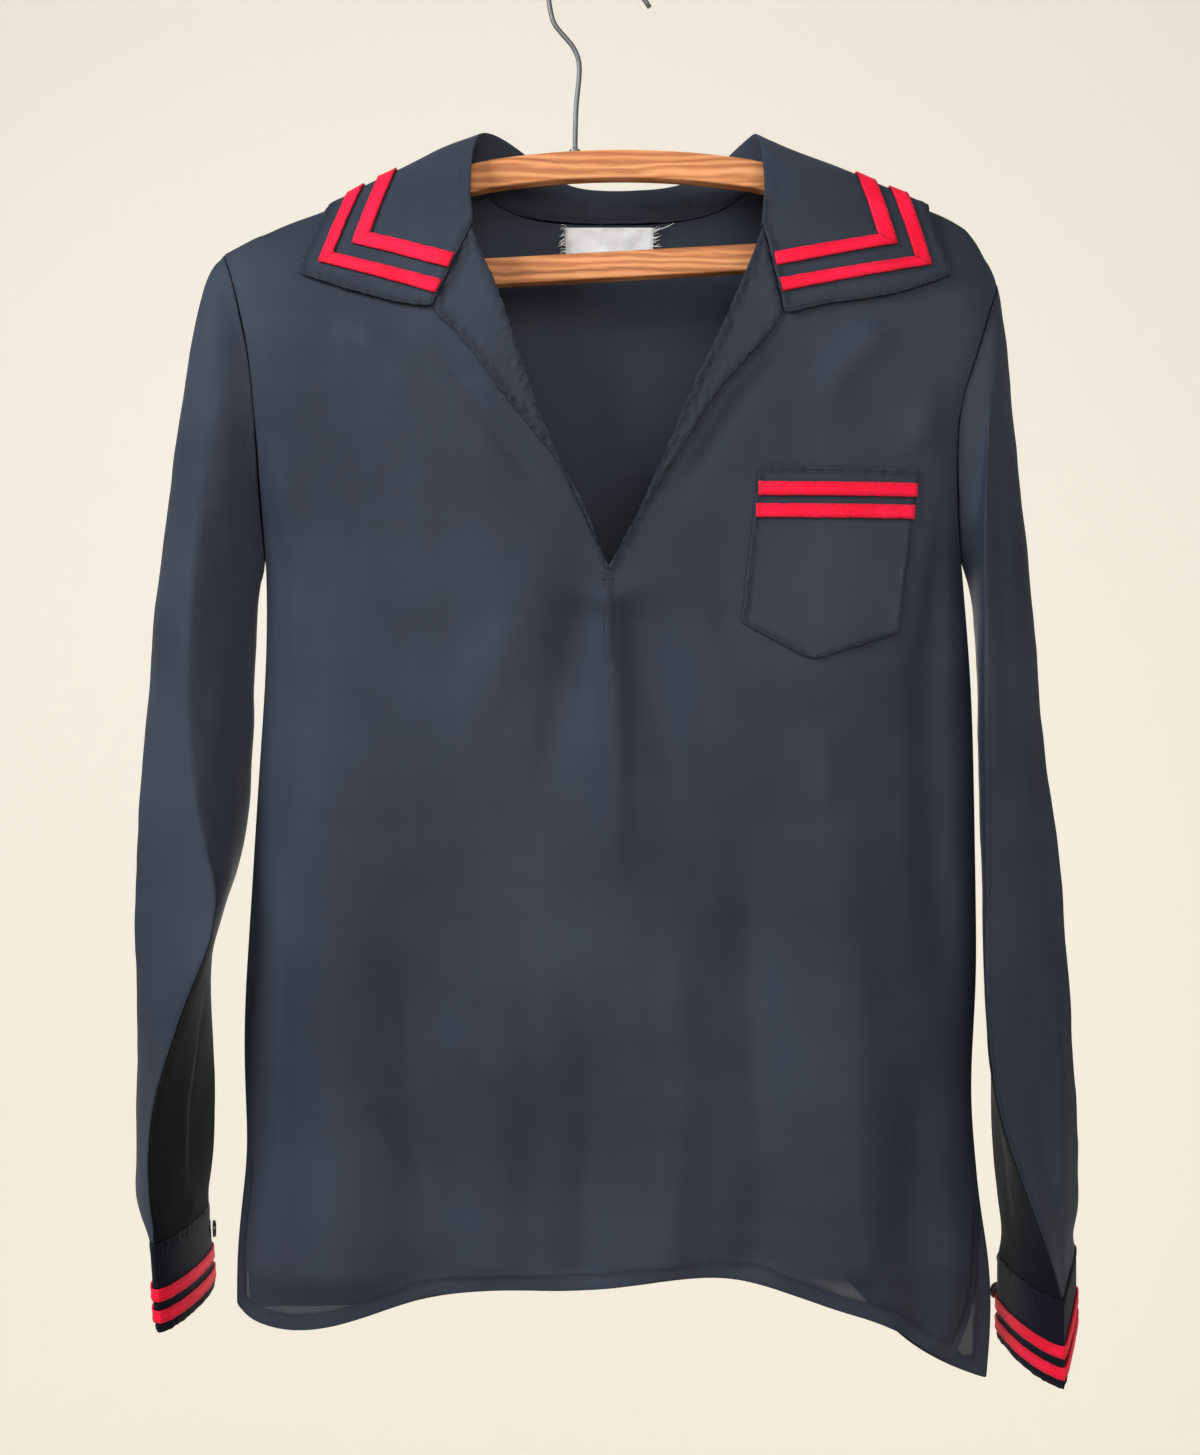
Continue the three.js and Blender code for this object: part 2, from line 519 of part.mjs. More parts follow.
// A closed section through outer, near, inner and far, starting at outer
function ring(section, count, power) {
  const { outer, near, inner, far, rise = 0 } = section;
  const middle = [0, 1].map((k) => (outer[k] + near[k] + inner[k] + far[k]) / 4);
  const points = [];
  for (let i = 0; i < count; i += 1) {
    const angle = (2 * Math.PI * i) / count;
    const c = Math.cos(angle);
    const s = Math.sin(angle);
    const a = c > 0 ? outer : inner;
    const b = s > 0 ? near : far;
    const bend = rise > 0 && c > 0 && s > 0 ? lerp(power, ROUND.hollow, rise / CUFF.right.rise) : power;
    const [u, v] = [Math.abs(c) ** bend, Math.abs(s) ** bend];
    const [x, y] = [0, 1].map((k) => middle[k] + u * (a[k] - middle[k]) + v * (b[k] - middle[k]));
    points.push([x, y, lerp(inner[2], outer[2], (c + 1) / 2) + rise * Math.max(c, 0) ** 2]);
  }
  return points;
}

// A sleeve from the armhole down to its cuff
function sleeve(side, frontEdge, backEdge) {
  const shift = (side === 'left' ? -1 : 1) * (SEAM_GAP + SEAM_SHIFT);
  const armhole = [...frontEdge, ...backEdge.slice(1, -1).reverse()].map(([x, y, z]) => [x + shift, y, z]);
  armhole[0][1] = 0;
  armhole[frontEdge.length - 1][1] = 0;
  const count = armhole.length;
  const end = SLEEVE[side].length - 1;
  const power = (i) => (i === end ? ROUND.cuff : ROUND.sleeve);
  const rings = [armhole, ...SLEEVE[side].map((section, i) => ring(section, count, power(i)))];
  const turned = side === 'right';
  const faces = gridFaces(rings.length - 1, count, { turned, loop: true });
  const last = (rings.length - 1) * count;
  return wall(rings.flat(), faces, CLOTH, (i) => (i < count ? 'x' : i >= last ? 'z' : ''));
}

const CUFF_POINTS = 24;

// Section of a cuff at one height, moved out from the cuff's own surface
function cuffRing(side, z, out) {
  const { outer, near, inner, far, head, foot, lean, rise } = CUFF[side];
  const flat = ring({ outer: [...outer, z], near, inner: [...inner, z], far, rise }, CUFF_POINTS, ROUND.cuff);
  const shift = lean * (z - foot) / (head - foot);
  return flat.map((p, i) => {
    const before = flat[(i + CUFF_POINTS - 1) % CUFF_POINTS];
    const after = flat[(i + 1) % CUFF_POINTS];
    const normal = new THREE.Vector2(after[1] - before[1], before[0] - after[0]).normalize();
    const sign = side === 'left' ? -1 : 1;
    return [p[0] + shift - sign * normal.x * out, p[1] - sign * normal.y * out, p[2]];
  });
}

function band(side, from, to, steps, out, thickness) {
  const rings = [];
  for (let j = 0; j <= steps; j += 1) rings.push(cuffRing(side, lerp(from, to, j / steps), out));
  const turned = side === 'right';
  const faces = gridFaces(steps, CUFF_POINTS, { turned, loop: true });
  return wall(rings.flat(), faces, thickness, () => 'z');
}

function button(side) {
  const { foot } = CUFF[side];
  const place = Math.round(CUFF_POINTS * BUTTON.place);
  const { up, out: seat } = BUTTON[side];
  const at = cuffRing(side, foot + up, seat)[place];
  const beyond = cuffRing(side, foot + up, seat + 1)[place];
  const geometry = new THREE.CylinderGeometry(BUTTON.radius, BUTTON.radius, BUTTON.thick, 20);
  const mesh = add(`button_${side}`, geometry, black);
  const out = new THREE.Vector3(beyond[0] - at[0], beyond[1] - at[1], 0).normalize();
  mesh.quaternion.setFromUnitVectors(new THREE.Vector3(0, 1, 0), out);
  mesh.position.set(...at).addScaledVector(out, BUTTON.thick / 2);
}

// Lays an [x, z] grid on the front panel, out from its surface
const onFront = (out) => ([x, z]) => [x, frontY(x, z) - out, z];

// A turned-out edge of the V: from the fold to its stitched edge
function rever(side) {
  const [rows, columns] = COUNTS.rever;
  const fold = sample(ROLL[side], rows);
  const edge = sample(REVER_EDGE[side], rows);
  const grid = [];
  for (let j = 0; j <= rows; j += 1) {
    for (let i = 0; i <= columns; i += 1) {
      const x = lerp(fold[j][0], edge[j][0], i / columns);
      const z = lerp(fold[j][1], edge[j][1], i / columns);
      grid.push([x, frontY(x, z) - LAID_GAP - CLOTH, z]);
    }
  }
  return wall(grid, gridFaces(rows, columns, { turned: side === 'left' }), CLOTH);
}

// Depth of the collar's fall: it lies on the body and lifts towards the roll
function fallY(face, x, z, roll, share) {
  const sign = face === 'front' ? -1 : 1;
  const body = panelDepth(face, x, z) + LAID_GAP + CLOTH;
  const lifted = Math.abs(roll[1]) + ROLL_LIFT.rise * smooth(share / ROLL_LIFT.until);
  const held = lerp(lifted, body, smooth(share / ROLL_LIFT.laid));
  return sign * Math.max(body, held);
}

// The collar's rows from its left front end, over the left shoulder, round the back to the right.
// Each row runs from the neck seam, over the roll, to the outer edge.
function collarRows() {
  const frontRows = (side) => {
    const roll = sample(COLLAR_ROLL[side].slice(0, RIDGE_POINT), COLLAR_ROWS - 1);
    const neck = sample(NECK[side].slice(0, RIDGE_POINT), COLLAR_ROWS - 1);
    const rollFlat = roll.map((p) => [p[0], p[2]]);
    const ridge = sample(COLLAR_RIDGE[side], COLLAR_COLUMNS);
    const drop = (i) => CAP_DROP + RIDGE_DROP.front * (1 - i / COLLAR_COLUMNS);
    const cap = ridge.map(([x, z], i) => (i === 0 ? rollFlat.at(-1) : [x, z - drop(i)]));
    const end = [
      ...sample([rollFlat[0], COLLAR_NOTCH[side]], SEAM_COLUMNS),
      ...sample(COLLAR_FRONT_EDGE[side], COLLAR_COLUMNS - SEAM_COLUMNS).slice(1),
    ];
    const outer = sample([...COLLAR_SIDE_EDGE[side].slice(0, 3), cap.at(-1)], COLLAR_ROWS - 1);
    const flat = fill(rollFlat, outer, end, cap);
    return flat.map((row, j) => ({
      neck: neck[j],
      roll: roll[j],
      fall: row.slice(1).map(([x, z], i) => [x, fallY('front', x, z, roll[j], (i + 1) / COLLAR_COLUMNS), z]),
    }));
  };
  const ridgeRow = (side) => ({
    neck: NECK[side][RIDGE_POINT],
    roll: COLLAR_ROLL[side][RIDGE_POINT],
    fall: sample(COLLAR_RIDGE[side], COLLAR_COLUMNS).slice(1).map(([x, z]) => [x, 0, z]),
  });
  const flapRows = () => {
    const rear = (points) => points.slice(RIDGE_POINT + 1);
    const join = ({ left, right }) => [...rear(left), ...rear(right).reverse()];
    const count = 2 * FLAP.side + FLAP.bottom;
    const roll = sample(join(COLLAR_ROLL), count);
    const neck = sample(join(NECK), count);
    const { leftX, rightX, hem } = COLLAR_BACK;
    const [leftTop, rightTop] = ['left', 'right'].map((side) => {
      const [x, z] = COLLAR_RIDGE[side].at(-1);
      return [x, z - CAP_DROP - RIDGE_DROP.edge];
    });
    const edge = [
      ...easedSample([leftTop, [leftX, hem]], FLAP.side, (u) => u ** FLAP_EASE),
      ...sample([[leftX, hem], [rightX, hem]], FLAP.bottom).slice(1),
      ...easedSample([[rightX, hem], rightTop], FLAP.side, (u) => 1 - (1 - u) ** FLAP_EASE).slice(1),
    ];
    return roll.map((point, j) => {
      const fall = [];
      for (let i = 1; i <= COLLAR_COLUMNS; i += 1) {
        const share = i / COLLAR_COLUMNS;
        const x = lerp(point[0], edge[j][0], share);
        let z = lerp(point[2], edge[j][1], share);
        if (j === 0 || j === count) {
          const ridge = COLLAR_RIDGE[j === 0 ? 'left' : 'right'];
          const drop = CAP_DROP + RIDGE_DROP.back * (1 - share);
          z = Math.min(z, lookUp(sample(ridge, EDGE_POINTS.side), x, 0, 1) - drop);
        }
        fall.push([x, fallY('back', x, z, point, share), z]);
      }
      return { neck: neck[j], roll: point, fall };
    });
  };
  return [
    ...frontRows('left'), ridgeRow('left'), ...flapRows(), ridgeRow('right'), ...frontRows('right').reverse(),
  ];
}

function collar(rows) {
  const points = rows.flatMap(({ neck, roll, fall }) => {
    const lift = new THREE.Vector3(...roll).sub(new THREE.Vector3(...neck)).normalize();
    const foot = new THREE.Vector3(...neck).addScaledVector(lift, NECK_GAP);
    const middle = foot.clone().lerp(new THREE.Vector3(...roll), 0.5);
    return [foot.toArray(), middle.toArray(), roll, ...fall];
  });
  const faces = gridFaces(rows.length - 1, COLLAR_COLUMNS + 2, { turned: true });
  return wall(points, faces, CLOTH);
}

const EPSILON = 1e-6;

// Depth of the collar's own facets at [x, z], searched in some of its rows
function onCollar(rows, x, z) {
  const lines = rows.map(({ roll, fall }) => [roll, ...fall]);
  for (let j = 0; j < lines.length - 1; j += 1) {
    for (let i = 0; i < COLLAR_COLUMNS; i += 1) {
      const corners = [lines[j][i], lines[j + 1][i], lines[j + 1][i + 1], lines[j][i + 1]];
      for (const [a, b, c] of [[0, 1, 2], [0, 2, 3]].map((t) => t.map((k) => corners[k]))) {
        const area = (b[0] - a[0]) * (c[2] - a[2]) - (c[0] - a[0]) * (b[2] - a[2]);
        const s = ((x - a[0]) * (c[2] - a[2]) - (c[0] - a[0]) * (z - a[2])) / area;
        const t = ((b[0] - a[0]) * (z - a[2]) - (x - a[0]) * (b[2] - a[2])) / area;
        const inside = s >= -EPSILON && t >= -EPSILON && s + t <= 1 + EPSILON;
        if (inside) return a[1] + s * (b[1] - a[1]) + t * (c[1] - a[1]);
      }
    }
  }
  return null;
}

// A point of one collar row where the row reaches x
function acrossRow({ roll, fall }, x) {
  const line = [roll, ...fall];
  return [x, lookUp(line, x, 0, 1), lookUp(line, x, 0, 2)];
}

// Both edges of a tape from a seam end, along the front edge and the side, over the shoulder
function tapeFront(rows, side, { seam, corner, ridge }) {
  const first = side === 'left' ? rows.slice(0, COLLAR_ROWS) : rows.slice(-COLLAR_ROWS);
  const last = rows.length - 1;
  const places = [-1, 0, 1].map((k) => COLLAR_ROWS + k).map((k) => rows[side === 'left' ? k : last - k]);
  const lift = TRIM + TAPE_GAP;
  return [0, 1].map((edge) => {
    const cap = acrossRow(places[0], ridge[edge]);
    const line = [];
    const between = (from, to, count) => {
      for (let i = 0; i < count; i += 1) {
        const x = lerp(from[0], to[0], i / count);
        const z = lerp(from[1], to[1], i / count);
        line.push([x, onCollar(first, x, z) - lift, z]);
      }
    };
    between(seam[edge], corner[edge], TAPE_COUNT.along);
    between(corner[edge], [cap[0], cap[2]], TAPE_COUNT.up);
    const over = acrossRow(places[1], ridge[edge]);
    const behind = acrossRow(places[2], ridge[edge]);
    const slant = lift * DIAGONAL;
    line.push([cap[0], cap[1] - slant, cap[2] + slant]);
    line.push([over[0], over[1], over[2] + lift]);
    line.push([behind[0], behind[1] + slant, behind[2] + slant]);
    return line;
  });
}

// Both edges of a tape round the flap behind, between the two shoulders
function tapeFlap(rows, { left, right, inset }) {
  const flap = rows.slice(COLLAR_ROWS + 1, -COLLAR_ROWS - 1);
  const { leftX, rightX, hem } = COLLAR_BACK;
  return [0, 1].map((edge) => {
    const start = acrossRow(flap[0], left.ridge[edge]);
    const end = acrossRow(flap.at(-1), right.ridge[edge]);
    const foot = hem + inset[edge];
    const corners = [
      [start[0], start[2]], [leftX + inset[edge], foot], [rightX - inset[edge], foot], [end[0], end[2]],
    ];
    const line = [];
    for (let k = 0; k < 3; k += 1) {
      const count = Math.round((k === 1 ? rightX - leftX : start[2] - hem) / TAPE_STEP);
      for (let i = k ? 0 : 1; i < count; i += 1) {
        const x = lerp(corners[k][0], corners[k + 1][0], i / count);
        const z = lerp(corners[k][1], corners[k + 1][1], i / count);
        line.push([x, onCollar(flap, x, z) + TRIM + LAID_GAP + FLAP_LIFT, z]);
      }
    }
    return line;
  });
}

function collarTape(name, rows) {
  const tape = COLLAR_TAPES[name];
  const leftEnd = tapeFront(rows, 'left', tape.left);
  const rightEnd = tapeFront(rows, 'right', tape.right);
  const behind = tapeFlap(rows, tape);
  const [outer, inner] = [0, 1].map((edge) => (
    [...leftEnd[edge], ...behind[edge], ...rightEnd[edge].reverse()]
  ));
  const faces = gridFaces(1, outer.length - 1);
  add(`collar_tape_${name}`, wall([...inner, ...outer], faces, TRIM), red);
}

// Rows of the pocket's [x, z] points, from its head to its pointed foot
function pocketGrid(rows, columns) {
  const { topLeft, topRight, footLeft, footRight, point } = POCKET;
  const grid = [];
  const left = columns * POCKET.pointShare;
  for (let j = 0; j <= rows; j += 1) {
    const v = j / rows;
    for (let i = 0; i <= columns; i += 1) {
      const u = i / columns;
      const beyond = (i - left) / (columns - left);
      const foot = [0, 1].map((k) => (
        i <= left ? lerp(footLeft[k], point[k], i / left) : lerp(point[k], footRight[k], beyond)
      ));
      const head = [lerp(topLeft[0], topRight[0], u), lerp(topLeft[1], topRight[1], u)];
      grid.push([lerp(head[0], foot[0], v), lerp(head[1], foot[1], v)]);
    }
  }
  return grid;
}

function pocket() {
  const [rows, columns] = COUNTS.pocket;
  const cloth = pocketGrid(rows, columns).map(onFront(LAID_GAP + TRIM));
  add('pocket', wall(cloth, gridFaces(rows, columns), TRIM), navy);
  const count = COUNTS.pocketTape;
  for (const [name, down] of Object.entries(POCKET_TAPES)) {
    const left = POCKET.topLeft[0] - down * POCKET.leftSlope + TAPE_INDENT;
    const right = POCKET.topRight[0] - down * POCKET.rightSlope - TAPE_INDENT;
    const head = POCKET.topLeft[1] - down;
    const grid = [];
    for (const z of [head, head - TAPE_WIDTH]) {
      for (let i = 0; i <= count; i += 1) grid.push([lerp(left, right, i / count), z]);
    }
    const tape = wall(grid.map(onFront(2 * LAID_GAP + 2 * TRIM)), gridFaces(1, count), TRIM);
    add(`pocket_tape_${name}`, tape, red);
  }
}

function hangerTop(x) {
  const d = x - WOOD.x;
  const arch = WOOD.z + WOOD.tilt * d - WOOD.curve * d * d;
  const inside = x < SHOULDER.left.at(-1)[0] + WOOD.tuck || x > SHOULDER.right.at(-1)[0] - WOOD.tuck;
  return inside ? Math.min(arch, shoulderZ(x) - CLOTH - CAP_DROP - WOOD.clear) : arch;
}

// A board in the hanger's plane between two edges that are functions of x
function board(from, to, steps, upper, lower) {
  const shape = new THREE.Shape();
  const xs = Array.from({ length: steps + 1 }, (_, i) => lerp(from, to, i / steps));
  xs.forEach((x, i) => (i ? shape.lineTo(x, upper(x)) : shape.moveTo(x, upper(x))));
  [...xs].reverse().forEach((x) => shape.lineTo(x, lower(x)));
  shape.closePath();
  const settings = { depth: WOOD.thick, bevelEnabled: false, curveSegments: 1 };
  const geometry = new THREE.ExtrudeGeometry(shape, settings);
  return geometry.rotateX(Math.PI / 2).translate(0, WOOD.thick / 2, 0);
}

function hanger() {
  const archFoot = (x) => hangerTop(x) - WOOD.arch;
  add('hanger_arch', board(...WOOD.archEnds, COUNTS.arch, hangerTop, archFoot), wood);
  const barTop = (x) => WOOD.barZ + WOOD.tilt * (x - CENTRE_X);
  const fitted = (x) => Math.min(barTop(x), archFoot(x) - SEAM_GAP);
  add('hanger_bar', board(...WOOD.barEnds, COUNTS.bar, fitted, (x) => barTop(x) - WOOD.bar), wood);
}

// The wire hook: a stem out of the arch, the crown round the origin and a flared tip
function hook() {
  const { radius, wire, start, sweep, stem, tip } = HOOK;
  const foot = hangerTop(WOOD.x) + SEAM_GAP;
  const loop = [];
  for (let i = 0; i <= COUNTS.hook; i += 1) {
    const angle = Math.PI * (start - (sweep * i) / COUNTS.hook);
    loop.push([radius * Math.cos(angle), wire - radius + radius * Math.sin(angle)]);
  }
  const line = [[WOOD.x, foot], ...stem, ...loop, ...tip].map(([x, z]) => new THREE.Vector3(x, 0, z));
  const path = new THREE.CatmullRomCurve3(line, false, 'centripetal');
  const section = new THREE.Shape().absarc(0, 0, wire, 0, 2 * Math.PI);
  const settings = { steps: COUNTS.wire, extrudePath: path, curveSegments: COUNTS.wireRound };
  add('hanger_hook', new THREE.ExtrudeGeometry(section, settings), steel);
  const { inner, outer, high } = FERRULE;
  const corners = [[inner, 0], [outer, 0], [outer, high], [inner, high], [inner, 0]];
  const profile = corners.map((p) => new THREE.Vector2(...p));
  const ferrule = new THREE.LatheGeometry(profile, COUNTS.ferrule).rotateX(Math.PI / 2);
  add('hanger_ferrule', ferrule.translate(WOOD.x, 0, foot), steel);
}

// The label lies on the back panel's inner face, under the neck seam
function label() {
  const [rows, columns] = COUNTS.label;
  const grid = [];
  for (let j = 0; j <= rows; j += 1) {
    for (let i = 0; i <= columns; i += 1) {
      const x = lerp(LABEL.left, LABEL.right, i / columns);
      const z = lerp(LABEL.head, LABEL.foot, j / rows);
      grid.push([x, backY(x, z) - CLOTH - LAID_GAP - TRIM, z]);
    }
  }
  return wall(grid, gridFaces(rows, columns), TRIM);
}

const front = bodyPanel('front');
const back = bodyPanel('back');
add('front', front.geometry, navy);
add('back', back.geometry, navy);
for (const side of ['left', 'right']) {
  add(`sleeve_${side}`, sleeve(side, front.edges[side], back.edges[side]), navy);
  const { head, foot } = CUFF[side];
  add(`cuff_${side}`, band(side, head, foot, 4, 0, CLOTH), darkNavy);
  for (const { name, fromFoot } of CUFF_TAPES) {
    const from = foot + fromFoot;
    add(`cuff_${side}_tape_${name}`, band(side, from, from - CUFF_TAPE, 1, 0.3 + TRIM, TRIM), red);
  }
  button(side);
  add(`rever_${side}`, rever(side), navy);
}
const fallRows = collarRows();
add('collar', collar(fallRows), navy);
collarTape('outer', fallRows);
collarTape('inner', fallRows);
pocket();
add('label', label(), satin);
hanger();
hook();

export default top;
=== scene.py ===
# %% [markdown]
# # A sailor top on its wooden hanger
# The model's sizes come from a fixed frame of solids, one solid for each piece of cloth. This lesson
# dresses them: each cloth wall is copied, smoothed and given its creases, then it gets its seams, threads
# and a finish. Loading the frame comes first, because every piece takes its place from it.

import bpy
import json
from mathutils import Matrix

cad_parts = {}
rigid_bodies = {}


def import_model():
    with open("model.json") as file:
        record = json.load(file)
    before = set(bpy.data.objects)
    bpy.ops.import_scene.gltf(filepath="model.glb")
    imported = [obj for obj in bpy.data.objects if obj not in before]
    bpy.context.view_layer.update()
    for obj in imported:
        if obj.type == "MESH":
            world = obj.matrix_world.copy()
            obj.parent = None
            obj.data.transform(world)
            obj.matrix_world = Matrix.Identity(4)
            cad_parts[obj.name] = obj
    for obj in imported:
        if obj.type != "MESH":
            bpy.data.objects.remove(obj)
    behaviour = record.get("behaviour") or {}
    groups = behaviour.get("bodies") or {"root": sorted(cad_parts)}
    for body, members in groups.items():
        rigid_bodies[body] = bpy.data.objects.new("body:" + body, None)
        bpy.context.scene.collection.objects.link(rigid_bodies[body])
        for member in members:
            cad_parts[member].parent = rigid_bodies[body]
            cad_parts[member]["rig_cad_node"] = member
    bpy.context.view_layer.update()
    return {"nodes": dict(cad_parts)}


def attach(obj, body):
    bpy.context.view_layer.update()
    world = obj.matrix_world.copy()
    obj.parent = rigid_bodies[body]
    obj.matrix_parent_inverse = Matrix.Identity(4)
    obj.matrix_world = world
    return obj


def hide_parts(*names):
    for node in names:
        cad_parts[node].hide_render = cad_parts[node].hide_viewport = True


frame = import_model()
print("nodes:", len(frame["nodes"]))

# %% [markdown]
# ## Units and small helpers
# Sizes are written in millimetres, as on a cutting table, and Blender works in metres. An operator acts
# on all that is selected, so each step first selects exactly the object that it means.

# %% Helpers for selecting
import json
import math

import bmesh
import bpy
import numpy as np
from mathutils import Vector, noise
from mathutils.bvhtree import BVHTree
from mathutils.kdtree import KDTree

MM = 0.001


def only(obj):
    """Selects obj alone and makes it active."""
    if bpy.context.object and bpy.context.object.mode != "OBJECT":
        bpy.ops.object.mode_set(mode="OBJECT")
    bpy.ops.object.select_all(action="DESELECT")
    obj.hide_set(False)
    obj.select_set(True)
    bpy.context.view_layer.objects.active = obj
    return obj


def in_edit_mode(obj, *steps):
    """Runs steps on all of obj's mesh in edit mode."""
    only(obj)
    bpy.ops.object.mode_set(mode="EDIT")
    bpy.ops.mesh.select_all(action="SELECT")
    for step in steps:
        step()
    bpy.ops.object.mode_set(mode="OBJECT")


def apply_modifier(obj, kind, **settings):
    """Adds one modifier with its settings and applies it."""
    only(obj)
    modifier = obj.modifiers.new(kind.title(), kind)
    for name, value in settings.items():
        setattr(modifier, name, value)
    bpy.ops.object.modifier_apply(modifier=modifier.name)


print("helpers ready")

# %% [markdown]
# ## Camera
# The photograph looks straight at the top from about a metre away, a little above the middle of the body.
# A camera could be aimed by a constraint, but one that looks along Y needs only its place and one turn.

# %% Place the camera
VIEW_DISTANCE, VIEW_HEIGHT, VIEW_SIDE = 1.05, -0.475, 0.0042
LENS = 43.3

UPRIGHT = (math.pi / 2, 0, 0)

bpy.ops.object.camera_add(location=(VIEW_SIDE, -VIEW_DISTANCE, VIEW_HEIGHT), rotation=UPRIGHT)
camera = bpy.context.object
camera.data.lens = LENS
bpy.context.scene.camera = camera
print("camera at", tuple(camera.location))

# %% [markdown]
# ## Backdrop and floor
# The top hangs before a pale wall, and two large planes are enough for that. They stand well away, so that
# its back can be looked at too, and they glow a little, as a wall in an even light seems to.

# %% Backdrop and floor
FLOOR_Z, BACKDROP_Y = -1.95, 2.2
PALE_WALL = (0.88, 0.82, 0.72)
PALE_FLOOR = (0.84, 0.80, 0.72)


def plain_sheet(name, size, place, turn, colour, glow):
    """A large plain plane of the studio, with a pale finish."""
    bpy.ops.mesh.primitive_plane_add(size=size, location=place, rotation=turn)
    plane = bpy.context.object
    plane.name = name
    bpy.ops.object.transform_apply(location=True, rotation=True, scale=True)
    paint = bpy.data.materials.new(name)
    paint.use_nodes = True
    shader = paint.node_tree.nodes["Principled BSDF"]
    shader.inputs["Base Color"].default_value = (*colour, 1)
    shader.inputs["Roughness"].default_value = 0.9
    shader.inputs["Emission Color"].default_value = (*colour, 1)
    shader.inputs["Emission Strength"].default_value = glow
    plane.data.materials.append(paint)
    return plane


plain_sheet("studio_floor", size=9, place=(0, 0, FLOOR_Z), turn=(0, 0, 0), colour=PALE_FLOOR, glow=0.1)
plain_sheet("studio_backdrop", size=14, place=(0, BACKDROP_Y, 0), turn=UPRIGHT, colour=PALE_WALL, glow=0.4)
print("stage ready")

# %% [markdown]
# ## Lights
# The light is soft, cooler from the left and a little warmer from the right. Area lights give such soft
# shadows, where points or a sun would cut them sharp. Each is a row of a table, aimed at the body's middle.

# %% Lights
LIGHTS = [
    dict(name="key_left", place=(-1.35, -0.95, 0.5), size=0.8, power=38, colour=(0.86, 0.93, 1.0)),
    dict(name="fill_front", place=(0.4, -2.3, 0.3), size=1.7, power=35, colour=(1.0, 0.98, 0.95)),
    dict(name="warm_right", place=(1.9, -1.7, 0.0), size=1.0, power=4, colour=(1.0, 0.88, 0.74)),
    dict(name="back_soft", place=(0.2, 1.9, -0.45), size=1.6, power=16, colour=(1.0, 0.97, 0.92)),
]
AIM = Vector((0.0, 0.0, -0.45))
WORLD_COLOUR, WORLD_GLOW = (0.93, 0.96, 1.0), 0.14
for lamp in LIGHTS:
    place = Vector(lamp["place"])
    turn = (AIM - place).to_track_quat("-Z", "Y").to_euler()
    bpy.ops.object.light_add(type="AREA", location=place, rotation=turn)
    light = bpy.context.object
    light.name = lamp["name"]
    light.data.size = lamp["size"]
    light.data.energy = lamp["power"]
    light.data.color = lamp["colour"]

world = bpy.data.worlds.new("studio")
bpy.context.scene.world = world
world.use_nodes = True
sky = world.node_tree.nodes["Background"]
sky.inputs["Color"].default_value = (*WORLD_COLOUR, 1)
sky.inputs["Strength"].default_value = WORLD_GLOW
bpy.context.scene.view_settings.view_transform = "Standard"
print("lights:", len(LIGHTS))

# %% [markdown]
# ## A small language for finishes
# A finish is a graph of nodes. One class lets a socket be used in ordinary sums, so that a mask can be
# written as 1 - spot * 0.5, and one method adds any other node with its settings and inputs.

# %% Shader maths
class Signal:
    """A number that varies over a surface."""

    def __init__(self, finish, socket):
        self.finish = finish
        self.socket = socket

    def sum_with(self, operation, other, flipped=False):
        pair = (other, self) if flipped else (self, other)
        return self.finish.node("ShaderNodeMath", {"operation": operation}, dict(enumerate(pair)))

    def __add__(self, other):
        return self.sum_with("ADD", other)

    def __sub__(self, other):
        return self.sum_with("SUBTRACT", other)

    def __rsub__(self, other):
        return self.sum_with("SUBTRACT", other, True)

    def __mul__(self, other):
        return self.sum_with("MULTIPLY", other)

    __radd__ = __add__
    __rmul__ = __mul__


print("sums of signals can be written")

# %% [markdown]
# A finish starts from the shader that a new material has. Its methods add the patterns, mixes and bumps that
# cloth, wood and wire share, so that each finish below stays a short recipe.

